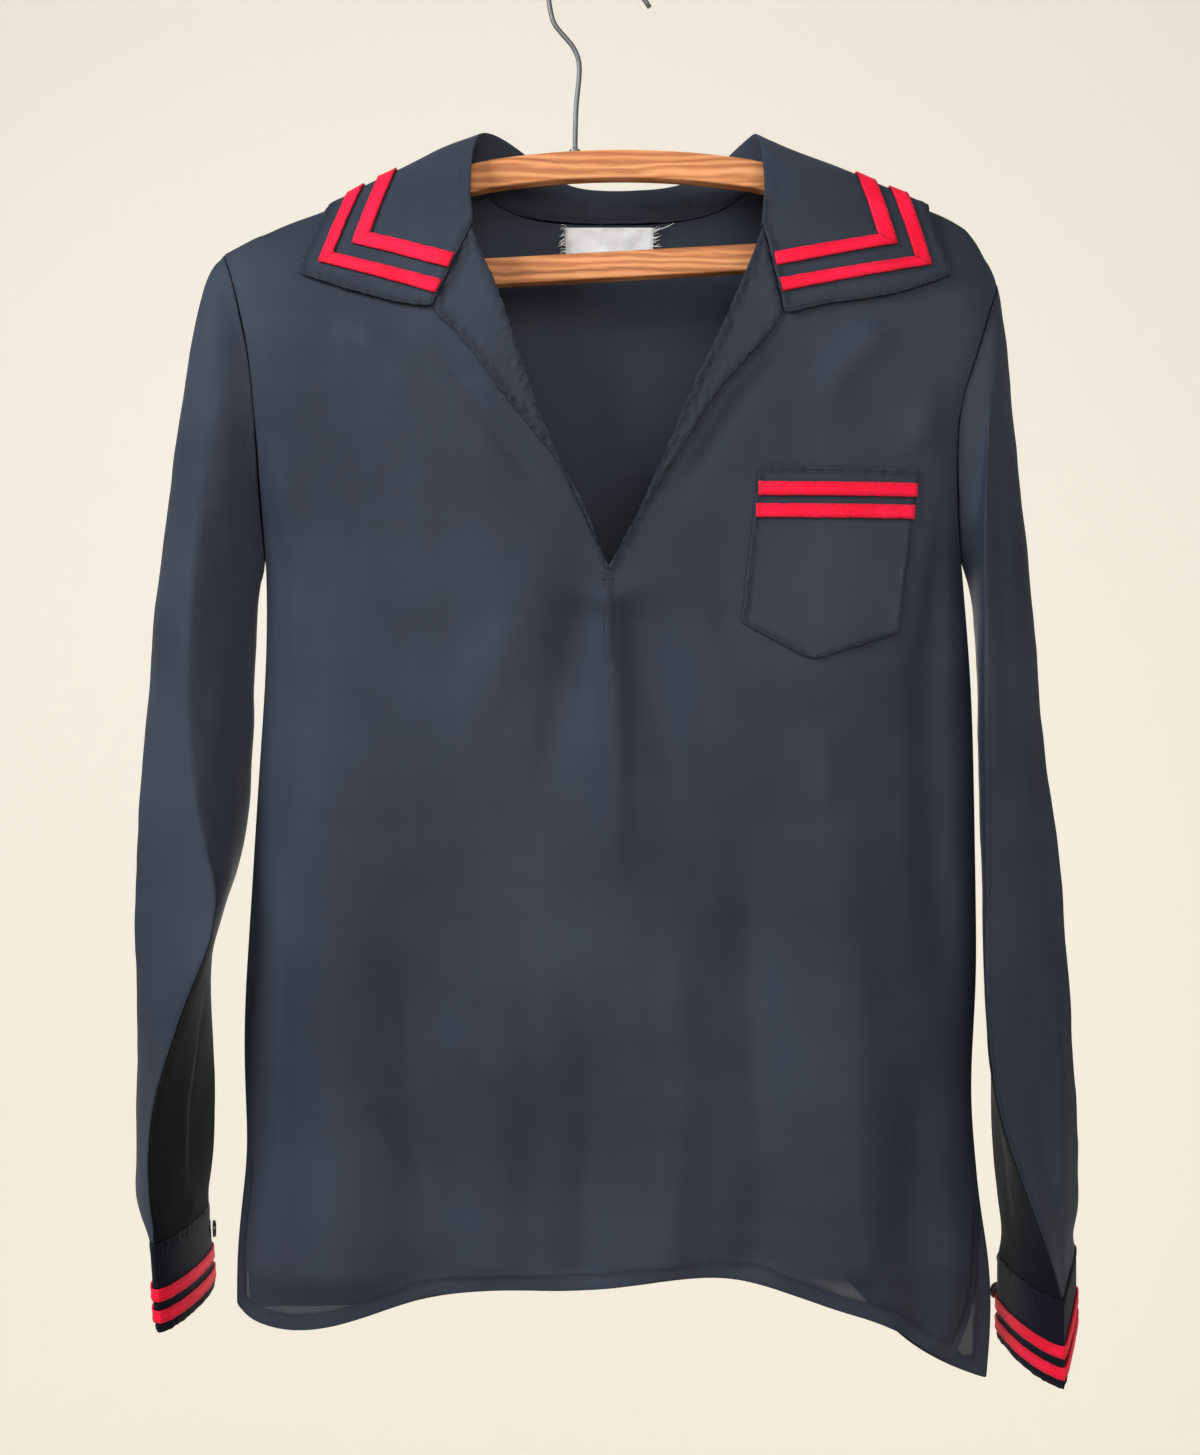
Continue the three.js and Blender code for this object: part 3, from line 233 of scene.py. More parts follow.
# %% One finish
class Finish:
    """One material and its graph."""

    def __init__(self, name, **constants):
        self.material = bpy.data.materials.new(name)
        self.material.use_nodes = True
        self.tree = self.material.node_tree
        self.shader = self.tree.nodes["Principled BSDF"]
        for socket, value in constants.items():
            self.shader.inputs[socket.replace("_", " ")].default_value = value

    def node(self, kind, settings=None, inputs=None, output=0):
        made = self.tree.nodes.new(kind)
        for name, value in (settings or {}).items():
            if name == "stops":
                self.stops(made.color_ramp, value)
            else:
                setattr(made, name, value)
        for key, value in (inputs or {}).items():
            self.feed(made.inputs[key], value)
        return Signal(self, made.outputs[output])

    def feed(self, socket, value):
        if isinstance(value, Signal):
            self.tree.links.new(value.socket, socket)
        else:
            socket.default_value = value

    @staticmethod
    def stops(ramp, values):
        while len(ramp.elements) > 1:
            ramp.elements.remove(ramp.elements[0])
        for number, (place, colour) in enumerate(values):
            stop = ramp.elements[0] if number == 0 else ramp.elements.new(place)
            stop.position = place
            stop.color = (*colour, 1)

    def place(self, stretch=(1, 1, 1), turn=(0, 0, 0)):
        """The point on the object, in metres, stretched and turned."""
        point = self.node("ShaderNodeTexCoord", output="Object")
        return self.node("ShaderNodeMapping", None, {"Vector": point, "Scale": stretch, "Rotation": turn})

    def clouds(self, scale, detail=3.0, stretch=(1, 1, 1), turn=(0, 0, 0)):
        return self.node("ShaderNodeTexNoise", None,
                         {"Vector": self.place(stretch, turn), "Scale": scale, "Detail": detail})

    def painted_number(self, name):
        """A number painted on the mesh's points."""
        return self.node("ShaderNodeAttribute", {"attribute_name": name}, output="Fac")

    def spread(self, signal, low, high):
        """Stretches the part of a signal between low and high to the whole of 0 to 1."""
        return self.node("ShaderNodeMapRange", {"interpolation_type": "SMOOTHSTEP"},
                         {"Value": signal, "From Min": low, "From Max": high})

    def mix(self, factor, first, second):
        made = self.tree.nodes.new("ShaderNodeMix")
        made.data_type = "RGBA"
        self.feed(made.inputs[0], factor)
        for socket, colour in ((made.inputs[6], first), (made.inputs[7], second)):
            self.feed(socket, colour if isinstance(colour, Signal) else (*colour, 1))
        return Signal(self, made.outputs[2])

    def bump(self, height, distance, strength=1.0, under=None):
        inputs = {"Height": height, "Distance": distance, "Strength": strength}
        if under:
            inputs["Normal"] = under
        return self.node("ShaderNodeBump", None, inputs)

    def show(self, **sockets):
        for name, value in sockets.items():
            self.feed(self.shader.inputs[name.replace("_", " ")], value)
        return self.material


print("finishes can be written")

# %% [markdown]
# ## Cloth finishes
# The top is a thin dark navy polyester with a soft satin sheen. Close up it shows a fine crosswise rib,
# faint streaks along the threads and small puckers wherever a needle has been. The puckers follow a number
# that is painted on the mesh near each seam, and the same number makes the seams darker, as painted shade
# in their puckered grooves. A second number paints shade, near black, on the turned-in sides of the sleeves.
# Where only one layer hangs at the hem, a little light comes through. The patterns are noise, stretched
# along one thread direction or the other.

# %% Navy cloth
STREAKS, PATCHES, RIBS, PUCKERS = 70, 7, 2600, 230  # cells of noise in a metre
DARK_NAVY, LIGHT_NAVY = (0.026, 0.031, 0.044), (0.038, 0.045, 0.062)
DARK_CUFF, LIGHT_CUFF = (0.007, 0.008, 0.014), (0.012, 0.013, 0.021)
SEE_THROUGH = 0.22  # the share of light that a single layer lets through


def cloth_finish(name, dark, light, gloss=0.09, thin_hem=False):
    cloth = Finish(name, Sheen_Weight=gloss / 5, Sheen_Roughness=0.42, Sheen_Tint=(0.55, 0.66, 0.85, 1),
                   Specular_IOR_Level=gloss)
    streak = cloth.clouds(STREAKS, 4, stretch=(1.0, 1.0, 0.06))
    slub = cloth.clouds(STREAKS, 4, stretch=(0.06, 0.06, 1.0))
    tone = cloth.clouds(PATCHES, 2)
    rib = cloth.clouds(RIBS, 2, stretch=(0.35, 0.35, 1.0))
    thread = cloth.clouds(RIBS, 2, stretch=(1.0, 1.0, 0.3))
    seam = cloth.painted_number("seam")
    pucker = cloth.clouds(PUCKERS, 2)
    mottle = tone * 0.76 + streak * 0.14 + slub * 0.10
    colour = cloth.mix(cloth.spread(mottle, 0.36, 0.66), dark, light)
    # painted shade: seams and cut edges are darkened, as the shade in their puckered grooves
    colour = cloth.mix(seam * 0.4, colour, tuple(0.5 * c for c in dark))
    # painted shade: the turned-in sides of the sleeves are darkened almost to black
    shade = cloth.painted_number("shade")
    colour = cloth.mix(shade * 0.9, colour, tuple(0.06 * c for c in dark))
    weave = cloth.bump(rib * 0.6 + thread * 0.4, 0.12 * MM, 0.5)
    soft = cloth.bump(streak * 0.5 + slub * 0.5, 0.35 * MM, 0.35, under=weave)
    puckered = cloth.bump(pucker * seam, 1.6 * MM, 0.8, under=soft)
    rough = 0.5 + tone * 0.16 + thread * 0.06 + shade * 0.3
    shown = dict(Base_Color=colour, Roughness=rough, Normal=puckered)
    if thin_hem:
        shown["Alpha"] = 1 - SEE_THROUGH * cloth.painted_number("single")
    return cloth.show(**shown)


NAVY = cloth_finish("navy_cloth", DARK_NAVY, LIGHT_NAVY, thin_hem=True)
NAVY_PLAIN = cloth_finish("navy_cloth_double", DARK_NAVY, LIGHT_NAVY)
CUFF_NAVY = cloth_finish("cuff_navy", DARK_CUFF, LIGHT_CUFF, gloss=0.04)
print("cloths:", [m.name for m in (NAVY, NAVY_PLAIN, CUFF_NAVY)])

# %% [markdown]
# The trims are a bright red woven tape, a pale satin label, thread in navy, red and white, and two black
# buttons. A tape has ribs across it and stitched rims, which are painted darker as the shade of their
# puckers, so its finish reads the same painted seams.

# %% Trim finishes
def tape_finish():
    tape = Finish("red_tape", Sheen_Weight=0.04, Sheen_Roughness=0.5, Sheen_Tint=(1, 0.5, 0.5, 1),
                  Specular_IOR_Level=0.12)
    rib = tape.clouds(1500, 2)
    tone = tape.clouds(40, 3)
    seam = tape.painted_number("seam")
    colour = tape.mix(tape.spread(tone, 0.35, 0.65), (0.84, 0.005, 0.034), (0.95, 0.011, 0.056))
    # painted shade: the stitched rims are darkened, as the shade in their puckers
    colour = tape.mix(seam * 0.7, colour, (0.45, 0.003, 0.018))
    fine = tape.bump(rib, 0.15 * MM, 0.6)
    return tape.show(Base_Color=colour, Roughness=0.55 + tone * 0.15,
                     Normal=tape.bump(tape.clouds(260, 2) * (0.25 + seam), 0.7 * MM, 0.7, under=fine))


def satin_finish():
    satin = Finish("label_satin", Sheen_Weight=0.1, Specular_IOR_Level=0.5)
    weft = satin.clouds(900, 2, stretch=(0.15, 1, 1))
    tone = satin.clouds(60, 3)
    colour = satin.mix(satin.spread(tone, 0.3, 0.7), (0.66, 0.66, 0.66), (0.86, 0.87, 0.88))
    return satin.show(Base_Color=colour, Roughness=0.38 + weft * 0.2, Normal=satin.bump(weft, 0.2 * MM, 0.6))


def thread_finish(name, colour, deep):
    thread = Finish(name, Specular_IOR_Level=0.3)
    twist = thread.clouds(1800, 2, stretch=(1, 1, 0.4), turn=(0.5, 0.5, 0))
    return thread.show(Base_Color=thread.mix(twist, colour, deep), Roughness=0.6 + twist * 0.2,
                       Normal=thread.bump(twist, 0.08 * MM, 0.5))


def button_finish():
    plastic = Finish("button_plastic", Specular_IOR_Level=0.6)
    swirl = plastic.clouds(300, 4)
    return plastic.show(Base_Color=plastic.mix(swirl, (0.006, 0.006, 0.008), (0.02, 0.02, 0.024)),
                        Roughness=0.18 + swirl * 0.2, Normal=plastic.bump(swirl, 0.05 * MM, 0.4))


RED = tape_finish()
SATIN = satin_finish()
NAVY_THREAD = thread_finish("navy_thread", (0.018, 0.021, 0.032), (0.008, 0.009, 0.014))
RED_THREAD = thread_finish("red_thread", (0.80, 0.05, 0.09), (0.45, 0.01, 0.03))
WHITE_THREAD = thread_finish("white_thread", (0.80, 0.79, 0.76), (0.6, 0.59, 0.56))
BUTTON_BLACK = button_finish()
print("trims ready")

# %% [markdown]
# The hanger is an old orange-brown board with long grain, small dark flecks and corners rubbed darker, and
# a hook of dull grey wire. Its finish would darken the corners where a number named worn is painted, but
# none is painted on the boards, so they stay as the rest. The grain is noise that is stretched far along
# the board.

# %% Hanger finishes
def wood_finish():
    wood = Finish("hanger_wood", Specular_IOR_Level=0.35)
    grain = wood.clouds(160, 6, stretch=(0.035, 1, 1), turn=(0, -0.05, 0))
    pores = wood.clouds(900, 3, stretch=(0.02, 1, 1), turn=(0, -0.05, 0))
    board = wood.clouds(18, 3, stretch=(0.4, 1, 1))
    ring = wood.node("ShaderNodeTexWave", {"bands_direction": "Z", "wave_profile": "SIN"},
                     {"Vector": wood.place((0.16, 1, 1)), "Scale": 62, "Distortion": 7.0, "Detail": 3,
                      "Detail Scale": 1.6})
    mixed = grain * 0.5 + ring * 0.28 + board * 0.22
    colour = wood.node("ShaderNodeValToRGB", {"stops": [
        (0.22, (0.26, 0.075, 0.020)), (0.45, (0.56, 0.20, 0.065)),
        (0.62, (0.72, 0.30, 0.115)), (0.85, (0.80, 0.40, 0.18))]}, {"Fac": mixed})
    colour = wood.mix(wood.spread(pores, 0.60, 0.72) * 0.55, colour, (0.20, 0.06, 0.018))
    worn = wood.painted_number("worn")
    colour = wood.mix(worn * 0.5, colour, (0.30, 0.10, 0.035))
    rough = wood.bump(pores, 0.25 * MM, 0.5)
    return wood.show(Base_Color=colour, Roughness=0.48 + grain * 0.22,
                     Normal=wood.bump(grain, 0.5 * MM, 0.5, under=rough))


def wire_finish():
    wire = Finish("hook_steel", Metallic=0.85, Specular_IOR_Level=0.5)
    dull = wire.clouds(120, 4)
    spots = wire.clouds(500, 3)
    colour = wire.mix(wire.spread(spots, 0.55, 0.75), (0.16, 0.16, 0.165), (0.09, 0.075, 0.06))
    return wire.show(Base_Color=colour, Roughness=0.38 + dull * 0.25, Normal=wire.bump(spots, 0.08 * MM, 0.5))


WOOD = wood_finish()
WIRE = wire_finish()
print("hanger finishes ready")

# %% [markdown]
# ## Cloth from the solids
# Each cloth solid is a closed wall of flat facets. Its copy is merged, joined into four-sided faces and
# smoothed by a subdivision surface, which rounds the cut edges as a turned hem is rounded. A few edges,
# such as the pressed fold of the collar, keep a crease weight so that they stay crisp.

# %% Copy and smooth a wall
pieces = {}
rims = {}
THIN = 1.45  # a face this narrow, in millimetres, is the cut edge of a wall
EDGE_TURN = 0.9  # the faces beside a cut edge turn by more than this, in radians
SHARP = math.radians(55)
WALL_LEVELS, TAPE_LEVELS, LABEL_LEVELS = 3, 2, 4


def copy_of(node, name, finish):
    """A merged copy of a solid, as a new piece that takes its place."""
    only(frame["nodes"][node])
    bpy.ops.object.duplicate()
    piece = bpy.context.object
    piece.name = name
    if "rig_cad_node" in piece:
        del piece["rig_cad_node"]
    in_edit_mode(piece, lambda: bpy.ops.mesh.remove_doubles(threshold=0.02 * MM))
    piece.data.materials.clear()
    piece.data.materials.append(finish)
    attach(piece, "root")
    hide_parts(node)
    pieces[node] = piece
    return piece


def tree_of(points):
    """A tree that finds the nearest of many points."""
    tree = KDTree(len(points))
    for number, point in enumerate(points):
        tree.insert(point, number)
    tree.balance()
    return tree


def rim_points(piece):
    """A tree of points a millimetre apart along the cut edges of a wall."""
    shape = bmesh.new()
    shape.from_mesh(piece.data)
    found = []
    narrow = {f: min(e.calc_length() for e in f.edges) < THIN * MM for f in shape.faces}
    for edge in shape.edges:
        faces = edge.link_faces
        if len(faces) == 2 and narrow[faces[0]] != narrow[faces[1]] and edge.calc_face_angle() > EDGE_TURN:
            start, end = (v.co for v in edge.verts)
            count = max(int(edge.calc_length() / MM), 1)
            found += [start.lerp(end, k / count) for k in range(count)]
    shape.free()
    return tree_of(found)


def smooth_wall(piece, levels, crisp):
    """Joins triangles in pairs, weights the sharp edges and subdivides."""
    in_edit_mode(piece, lambda: bpy.ops.mesh.tris_convert_to_quads(
        face_threshold=math.radians(50), shape_threshold=math.radians(60)))
    rims[piece.name] = rim_points(piece)
    in_edit_mode(
        piece,
        lambda: bpy.ops.mesh.select_mode(type="EDGE"),
        lambda: bpy.ops.mesh.select_all(action="DESELECT"),
        lambda: bpy.ops.mesh.edges_select_sharp(sharpness=SHARP),
        lambda: bpy.ops.transform.edge_crease(value=crisp),
    )
    apply_modifier(piece, "SUBSURF", levels=levels, render_levels=levels)
    only(piece)
    bpy.ops.object.shade_smooth()
    return piece


def cloth_wall(node, crisp, finish=NAVY_PLAIN):
    """The smooth cloth of one solid, named after it."""
    return smooth_wall(copy_of(node, f"{node}_cloth", finish), WALL_LEVELS, crisp)


print("copying works on", len(frame["nodes"]), "nodes")

# %% [markdown]
# ## Creases placed one by one
# Cloth that hangs still has soft folds: long ones where its weight pulls, short ones by a seam. Each is one
# row of a table: a path on the cloth, how wide it is and how far it stands out or sinks in. A bell across
# the path moves the points, and both ends fade. A faint uneven ripple keeps the rest from looking ironed.

# %% Crease helpers
def points_of(piece):
    flat = np.empty(len(piece.data.vertices) * 3)
    piece.data.vertices.foreach_get("co", flat)
    return flat.reshape(-1, 3)


def put_points(piece, points):
    piece.data.vertices.foreach_set("co", points.ravel())
    piece.data.update()


def normals_of(piece):
    flat = np.empty(len(piece.data.vertices) * 3)
    piece.data.vertices.foreach_get("normal", flat)
    return flat.reshape(-1, 3)


def off_path(flat, path):
    """Distance of each point from a path, and its share of the way along it, in millimetres."""
    nearest = np.full(len(flat), np.inf)
    along = np.zeros(len(flat))
    run = 0.0
    for start, end in zip(path, path[1:]):
        start, step = np.array(start, float), np.subtract(end, start).astype(float)
        length = float(np.hypot(*step))
        share = np.clip((flat - start) @ step / length**2, 0, 1)
        gap = np.hypot(*(flat - start - share[:, None] * step).T)
        closer = gap < nearest
        nearest = np.where(closer, gap, nearest)
        along = np.where(closer, run + share * length, along)
        run += length
    return nearest, along / run


def ease(x):
    x = np.clip(x, 0, 1)
    return x * x * (3 - 2 * x)


def crease(flat, path, wide, deep, fade=(0.3, 0.3)):
    """How far one crease moves each point."""
    gap, share = off_path(flat, path)
    ends = np.ones(len(flat))
    if fade[0]:
        ends *= ease(share / fade[0])
    if fade[1]:
        ends *= ease((1 - share) / fade[1])
    return deep * MM * np.exp(-((gap / wide) ** 2)) * ends


def ripple(points, size, deep, seed):
    """A faint uneven ripple, the same on every run."""
    shift = Vector((seed * 7.3, seed * 3.1, seed * 5.7))
    return np.array([noise.noise(Vector(p) / (size * MM) + shift) for p in points]) * deep * MM


def paint(piece, name, values):
    """Paints one number per point on the mesh, for a finish to read."""
    old = piece.data.attributes.get(name)
    if old:
        piece.data.attributes.remove(old)
    layer = piece.data.attributes.new(name, "FLOAT", "POINT")
    layer.data.foreach_set("value", np.clip(values, 0, 1).astype(np.float32))


print("creases can be placed")

# %% [markdown]
# ## Sewing
# A machine leaves a row of short stitches at an even distance from an edge, and the cloth gathers a little
# along it. The distance from the cut edge is measured at every point first. A line of equal distance is then
# followed across the faces, and one small stitch is modelled and copied along it.

# %% One stitch
def shape_of(model):
    """The points and faces of a small model, which is then taken away."""
    points = points_of(model)
    faces = [tuple(face.vertices) for face in model.data.polygons]
    bpy.data.objects.remove(model)
    return points, faces


def make_stitch(length, thick):
    """One stitch that lies along X: a short bead whose ends are pulled in and down."""
    reach, drop, taper = length * 0.25, thick * 0.3, 0.45
    bpy.ops.object.select_all(action="DESELECT")
    bpy.ops.mesh.primitive_cylinder_add(vertices=6, radius=thick / 2, depth=length * 0.5,
                                        end_fill_type="NGON", rotation=(0, math.pi / 2, 0))
    bead = bpy.context.object
    bpy.ops.object.transform_apply(location=True, rotation=True, scale=True)
    bpy.ops.object.mode_set(mode="EDIT")
    bpy.ops.mesh.select_mode(type="FACE")
    for way in (1, -1):
        bpy.ops.mesh.select_all(action="DESELECT")
        shape = bmesh.from_edit_mesh(bead.data)
        shape.faces.ensure_lookup_table()
        cap = max(shape.faces, key=lambda f: f.normal.x * way)
        cap.select = True
        centre = cap.calc_center_median()
        bmesh.update_edit_mesh(bead.data)
        bpy.ops.mesh.extrude_region_move(TRANSFORM_OT_translate={"value": (way * reach, 0, -drop)})
        bpy.ops.transform.resize(value=(taper, taper, taper),
                                 center_override=(centre.x + way * reach, 0, -drop))
    bpy.ops.object.mode_set(mode="OBJECT")
    return shape_of(bead)


STITCH, STITCH_GAP, THREAD = 2.2 * MM, 0.8 * MM, 0.34 * MM
stitch = make_stitch(STITCH, THREAD)
print("one stitch has", len(stitch[1]), "faces")

# %% Copies in a row
def lay_copies(name, shape, places, finish):
    """Copies a small shape to each place: a middle, a direction, a normal and perhaps a size."""
    points, faces = [], []
    for middle, along, normal, *size in places:
        along = (along - along.dot(normal) * normal).normalized()
        across = normal.cross(along)
        turn = np.array([along, across, normal]) * (size[0] if size else 1)
        faces += [tuple(k + len(points) * len(shape[0]) for k in face) for face in shape[1]]
        points.append(shape[0] @ turn + np.array(middle + normal * THREAD * 0.25))
    mesh = bpy.data.meshes.new(name)
    mesh.from_pydata(np.concatenate(points).tolist(), [], faces)
    row = bpy.data.objects.new(name, mesh)
    bpy.context.collection.objects.link(row)
    mesh.materials.append(finish)
    only(row)
    bpy.ops.object.shade_smooth()
    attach(row, "root")
    return row


print("rows of copies can be laid")

# %% [markdown]
# A row of stitches could be drawn by hand on each piece, but it would miss the cloth wherever a crease moves
# it. Here it is read from the creased mesh itself, so it lies on the faces that it is sewn through.

# %% Distance from the edge, and lines of equal distance
SHORTEST_CHAIN = 4  # a line of so few points is left unsewn
LOOK_FROM, LOOKS = -0.3, 9  # where a look from the front starts, and how many fall on each stretch


def edge_distance(piece):
    """Millimetres from each point to the nearest cut edge."""
    tree = rims[piece.name]
    return np.array([tree.find(v.co)[2] for v in piece.data.vertices]) / MM


def level_line(piece, values, level, keep):
    """Chains of (point, normal) where values reach level, on the faces that keep accepts."""
    mesh = piece.data
    links, spots = {}, {}
    for face in mesh.polygons:
        if not keep(face):
            continue
        ring = list(face.vertices)
        cuts = []
        for a, b in zip(ring, ring[1:] + ring[:1]):
            if (values[a] < level) != (values[b] < level):
                key = (min(a, b), max(a, b))
                share = (level - values[key[0]]) / (values[key[1]] - values[key[0]])
                spots[key] = (mesh.vertices[key[0]].co.lerp(mesh.vertices[key[1]].co, float(share)),
                              face.normal.copy())
                cuts.append(key)
        if len(cuts) == 2:
            links.setdefault(cuts[0], []).append(cuts[1])
            links.setdefault(cuts[1], []).append(cuts[0])
    chains, seen = [], set()
    for start in sorted(links, key=lambda k: (len(links[k]), k)):
        if start in seen:
            continue
        chain, here = [], start
        while here is not None:
            seen.add(here)
            chain.append(spots[here])
            here = next((n for n in links[here] if n not in seen), None)
        if len(chain) > SHORTEST_CHAIN:
            chains.append(chain)
    return chains


def even_places(chain, step):
    """Middles, directions and normals at even steps along a chain."""
    places, left = [], step / 2
    for (start, normal), (end, _) in zip(chain, chain[1:]):
        span = end - start
        length = span.length
        while length > 1e-9 and left <= length:
            places.append((start + span * (left / length), span / length, normal))
            left += step
        left -= length
    return places


def sew_edge(piece, inset, finish, keep):
    """One row of stitches at a distance from the cut edge."""
    chains = level_line(piece, edge_distance(piece), inset, keep)
    places = [place for chain in chains for place in even_places(chain, STITCH + STITCH_GAP)]
    row = lay_copies(f"{piece.name}_stitches", stitch, places, finish)
    print(row.name, len(places), "stitches")


def sew_path(piece, paths, finish, name):
    """Rows of stitches along paths in (x, z), found on a piece by looking at it from the front."""
    shape = bmesh.new()
    shape.from_mesh(piece.data)
    tree = BVHTree.FromBMesh(shape)
    shape.free()
    places = []
    for path in paths:
        chain = []
        for start, end in zip(path, path[1:]):
            for share in np.linspace(0, 1, LOOKS):
                x, z = ((1 - share) * a + share * b for a, b in zip(start, end))
                hit, normal, _, _ = tree.ray_cast(Vector((x * MM, LOOK_FROM, z * MM)), Vector((0, 1, 0)))
                if hit:
                    chain.append((hit, normal))
        places += even_places(chain, STITCH + STITCH_GAP)
    lay_copies(name, stitch, places, finish)
    print(name, len(places), "stitches")


PUCKER_SIZE = 3.6  # the length of one pucker beside a seam


def gather(piece, inset, lift, seed, wide=2.2, keep=None):
    """Puckers the cloth along a row of stitches, and paints the seam, which its finish darkens as painted
    shade and puckers.
    """
    gap = edge_distance(piece)
    points = points_of(piece)
    kept = keep(points / MM) if keep else 1
    near = np.exp(-(((gap - inset) / wide) ** 2)) * kept
    shift = ripple(points, PUCKER_SIZE, lift, seed) * np.exp(-(((gap - inset) / (2 * wide)) ** 2)) * kept
    put_points(piece, points + normals_of(piece) * shift[:, None])
    paint(piece, "seam", near)


def sew_down(piece, inset, wide, lift, seed, keep, thread=NAVY_THREAD):
    """Puckers a piece near its cut edge and sews it there."""
    gather(piece, inset, wide=wide, lift=lift, seed=seed)
    sew_edge(piece, inset, thread, keep)


print("sewing helpers ready")

# %% [markdown]
# ## The front and the back
# The photograph shows drag folds that radiate from the foot of the V, dark troughs beside each rever, and
# long shallow folds that widen towards the hem. The back is hidden, so it gets similar ones of its own.
# Points are (x, z) on the cloth, and a crease with a positive depth stands out. A cloth simulation would
# give folds of its own, but not the ones of this top, so they are listed one by one.

# %% Creases of the body
FRONT_CREASES = [
    dict(path=[(9, -386), (10, -430), (13, -500), (10, -600)], wide=9, deep=2.4, fade=(0.06, 0.6)),
    dict(path=[(-2, -392), (-14, -450), (-34, -540)], wide=15, deep=-2.6, fade=(0.15, 0.5)),
    dict(path=[(20, -392), (36, -452), (58, -545)], wide=15, deep=-2.4, fade=(0.15, 0.5)),
    dict(path=[(-16, -352), (-48, -420), (-92, -520)], wide=17, deep=2.0, fade=(0.2, 0.5)),
    dict(path=[(34, -356), (66, -430), (96, -540)], wide=18, deep=1.8, fade=(0.2, 0.5)),
    dict(path=[(-97, -236), (-72, -268), (-46, -306), (-20, -346)], wide=9, deep=-2.2, fade=(0.25, 0.3)),
    dict(path=[(116, -240), (88, -276), (62, -314), (38, -350)], wide=9, deep=-2.2, fade=(0.25, 0.3)),
    dict(path=[(-150, -232), (-118, -262), (-92, -310)], wide=13, deep=1.6, fade=(0.3, 0.5)),
    dict(path=[(176, -236), (148, -262), (126, -300)], wide=12, deep=2.0, fade=(0.25, 0.5)),
    dict(path=[(202, -262), (186, -330), (190, -420)], wide=11, deep=1.6, fade=(0.3, 0.4)),
    dict(path=[(206, -330), (196, -450), (202, -560), (212, -660)], wide=13, deep=-1.8, fade=(0.2, 0.3)),
    dict(path=[(-190, -300), (-176, -380), (-182, -470)], wide=12, deep=1.5, fade=(0.3, 0.4)),
    dict(path=[(-172, -420), (-160, -560), (-150, -700), (-152, -812)], wide=26, deep=2.6, fade=(0.4, 0.05)),
    dict(path=[(-120, -520), (-104, -640), (-96, -740), (-98, -806)], wide=19, deep=-2.4, fade=(0.4, 0.05)),
    dict(path=[(-62, -560), (-52, -680), (-58, -800)], wide=16, deep=2.2, fade=(0.4, 0.05)),
    dict(path=[(-8, -600), (2, -700), (-6, -800)], wide=14, deep=-2.0, fade=(0.4, 0.05)),
    dict(path=[(46, -560), (52, -680), (44, -798)], wide=17, deep=2.0, fade=(0.4, 0.05)),
    dict(path=[(88, -500), (96, -640), (104, -740), (96, -800)], wide=17, deep=-2.8, fade=(0.4, 0.05)),
    dict(path=[(140, -480), (150, -640), (156, -800)], wide=20, deep=2.4, fade=(0.4, 0.05)),
    dict(path=[(196, -640), (188, -740), (194, -836)], wide=15, deep=-2.0, fade=(0.4, 0.05)),
    dict(path=[(-84, -640), (-70, -668), (-46, -690)], wide=7, deep=1.0, fade=(0.4, 0.4)),
    dict(path=[(-130, -690), (-108, -716), (-90, -752)], wide=7, deep=-1.0, fade=(0.4, 0.4)),
    dict(path=[(20, -662), (34, -690), (40, -724)], wide=7, deep=0.9, fade=(0.4, 0.4)),
    dict(path=[(126, -470), (136, -498), (132, -530)], wide=8, deep=0.9, fade=(0.4, 0.4)),
]
BACK_CREASES = [
    dict(path=[(9, -310), (14, -450), (6, -620), (10, -806)], wide=26, deep=2.6, fade=(0.3, 0.05)),
    dict(path=[(-50, -330), (-62, -480), (-56, -640), (-64, -816)], wide=20, deep=-2.4, fade=(0.3, 0.05)),
    dict(path=[(70, -330), (80, -500), (74, -660), (82, -798)], wide=20, deep=-2.6, fade=(0.3, 0.05)),
    dict(path=[(-120, -300), (-132, -470), (-124, -640), (-132, -826)], wide=24, deep=2.4, fade=(0.3, 0.05)),
    dict(path=[(142, -310), (150, -480), (146, -660), (154, -810)], wide=22, deep=2.4, fade=(0.3, 0.05)),
    dict(path=[(-186, -290), (-160, -330), (-128, -372)], wide=11, deep=-1.8, fade=(0.3, 0.5)),
    dict(path=[(206, -300), (182, -340), (150, -380)], wide=11, deep=-1.8, fade=(0.3, 0.5)),
    dict(path=[(-170, -380), (-176, -520), (-168, -640)], wide=12, deep=-1.6, fade=(0.3, 0.4)),
    dict(path=[(200, -390), (198, -520), (206, -660)], wide=12, deep=-1.6, fade=(0.3, 0.4)),
]
print("creases:", len(FRONT_CREASES), "on the front,", len(BACK_CREASES), "on the back")

# %% [markdown]
# The folds fade out at the side seams and under the pieces that are sewn on, because a pocket or a collar
# holds its cloth flat. Folds that ran through would also push the panel out through those pieces.

# %% Move a panel's points
FOLD_DEPTH = 2.4  # the tables give each crease's share of this depth
BROAD_WAVE, FINE_WAVE = (46, 1.3), (17, 0.4)  # size and height of the ripple between the folds
SIDE_HOLD, SIDE_RISE = 9, 12  # held this near the plane of the side seams, free this much further out
LAID_HOLD, LAID_RISE, LAID_SHARE = 5, 16, 0.12  # the same beside a sewn-on piece, and the share under it


def clear_of(points, nodes):
    """0 beside the pieces that lie on a panel, 1 well away from them."""
    near = [v.co for node in nodes for v in frame["nodes"][node].data.vertices]
    near += [f.center for node in nodes for f in frame["nodes"][node].data.polygons]
    tree = tree_of(near)
    gap = np.array([tree.find(p)[2] for p in points]) / MM
    return ease((gap - LAID_HOLD) / LAID_RISE)


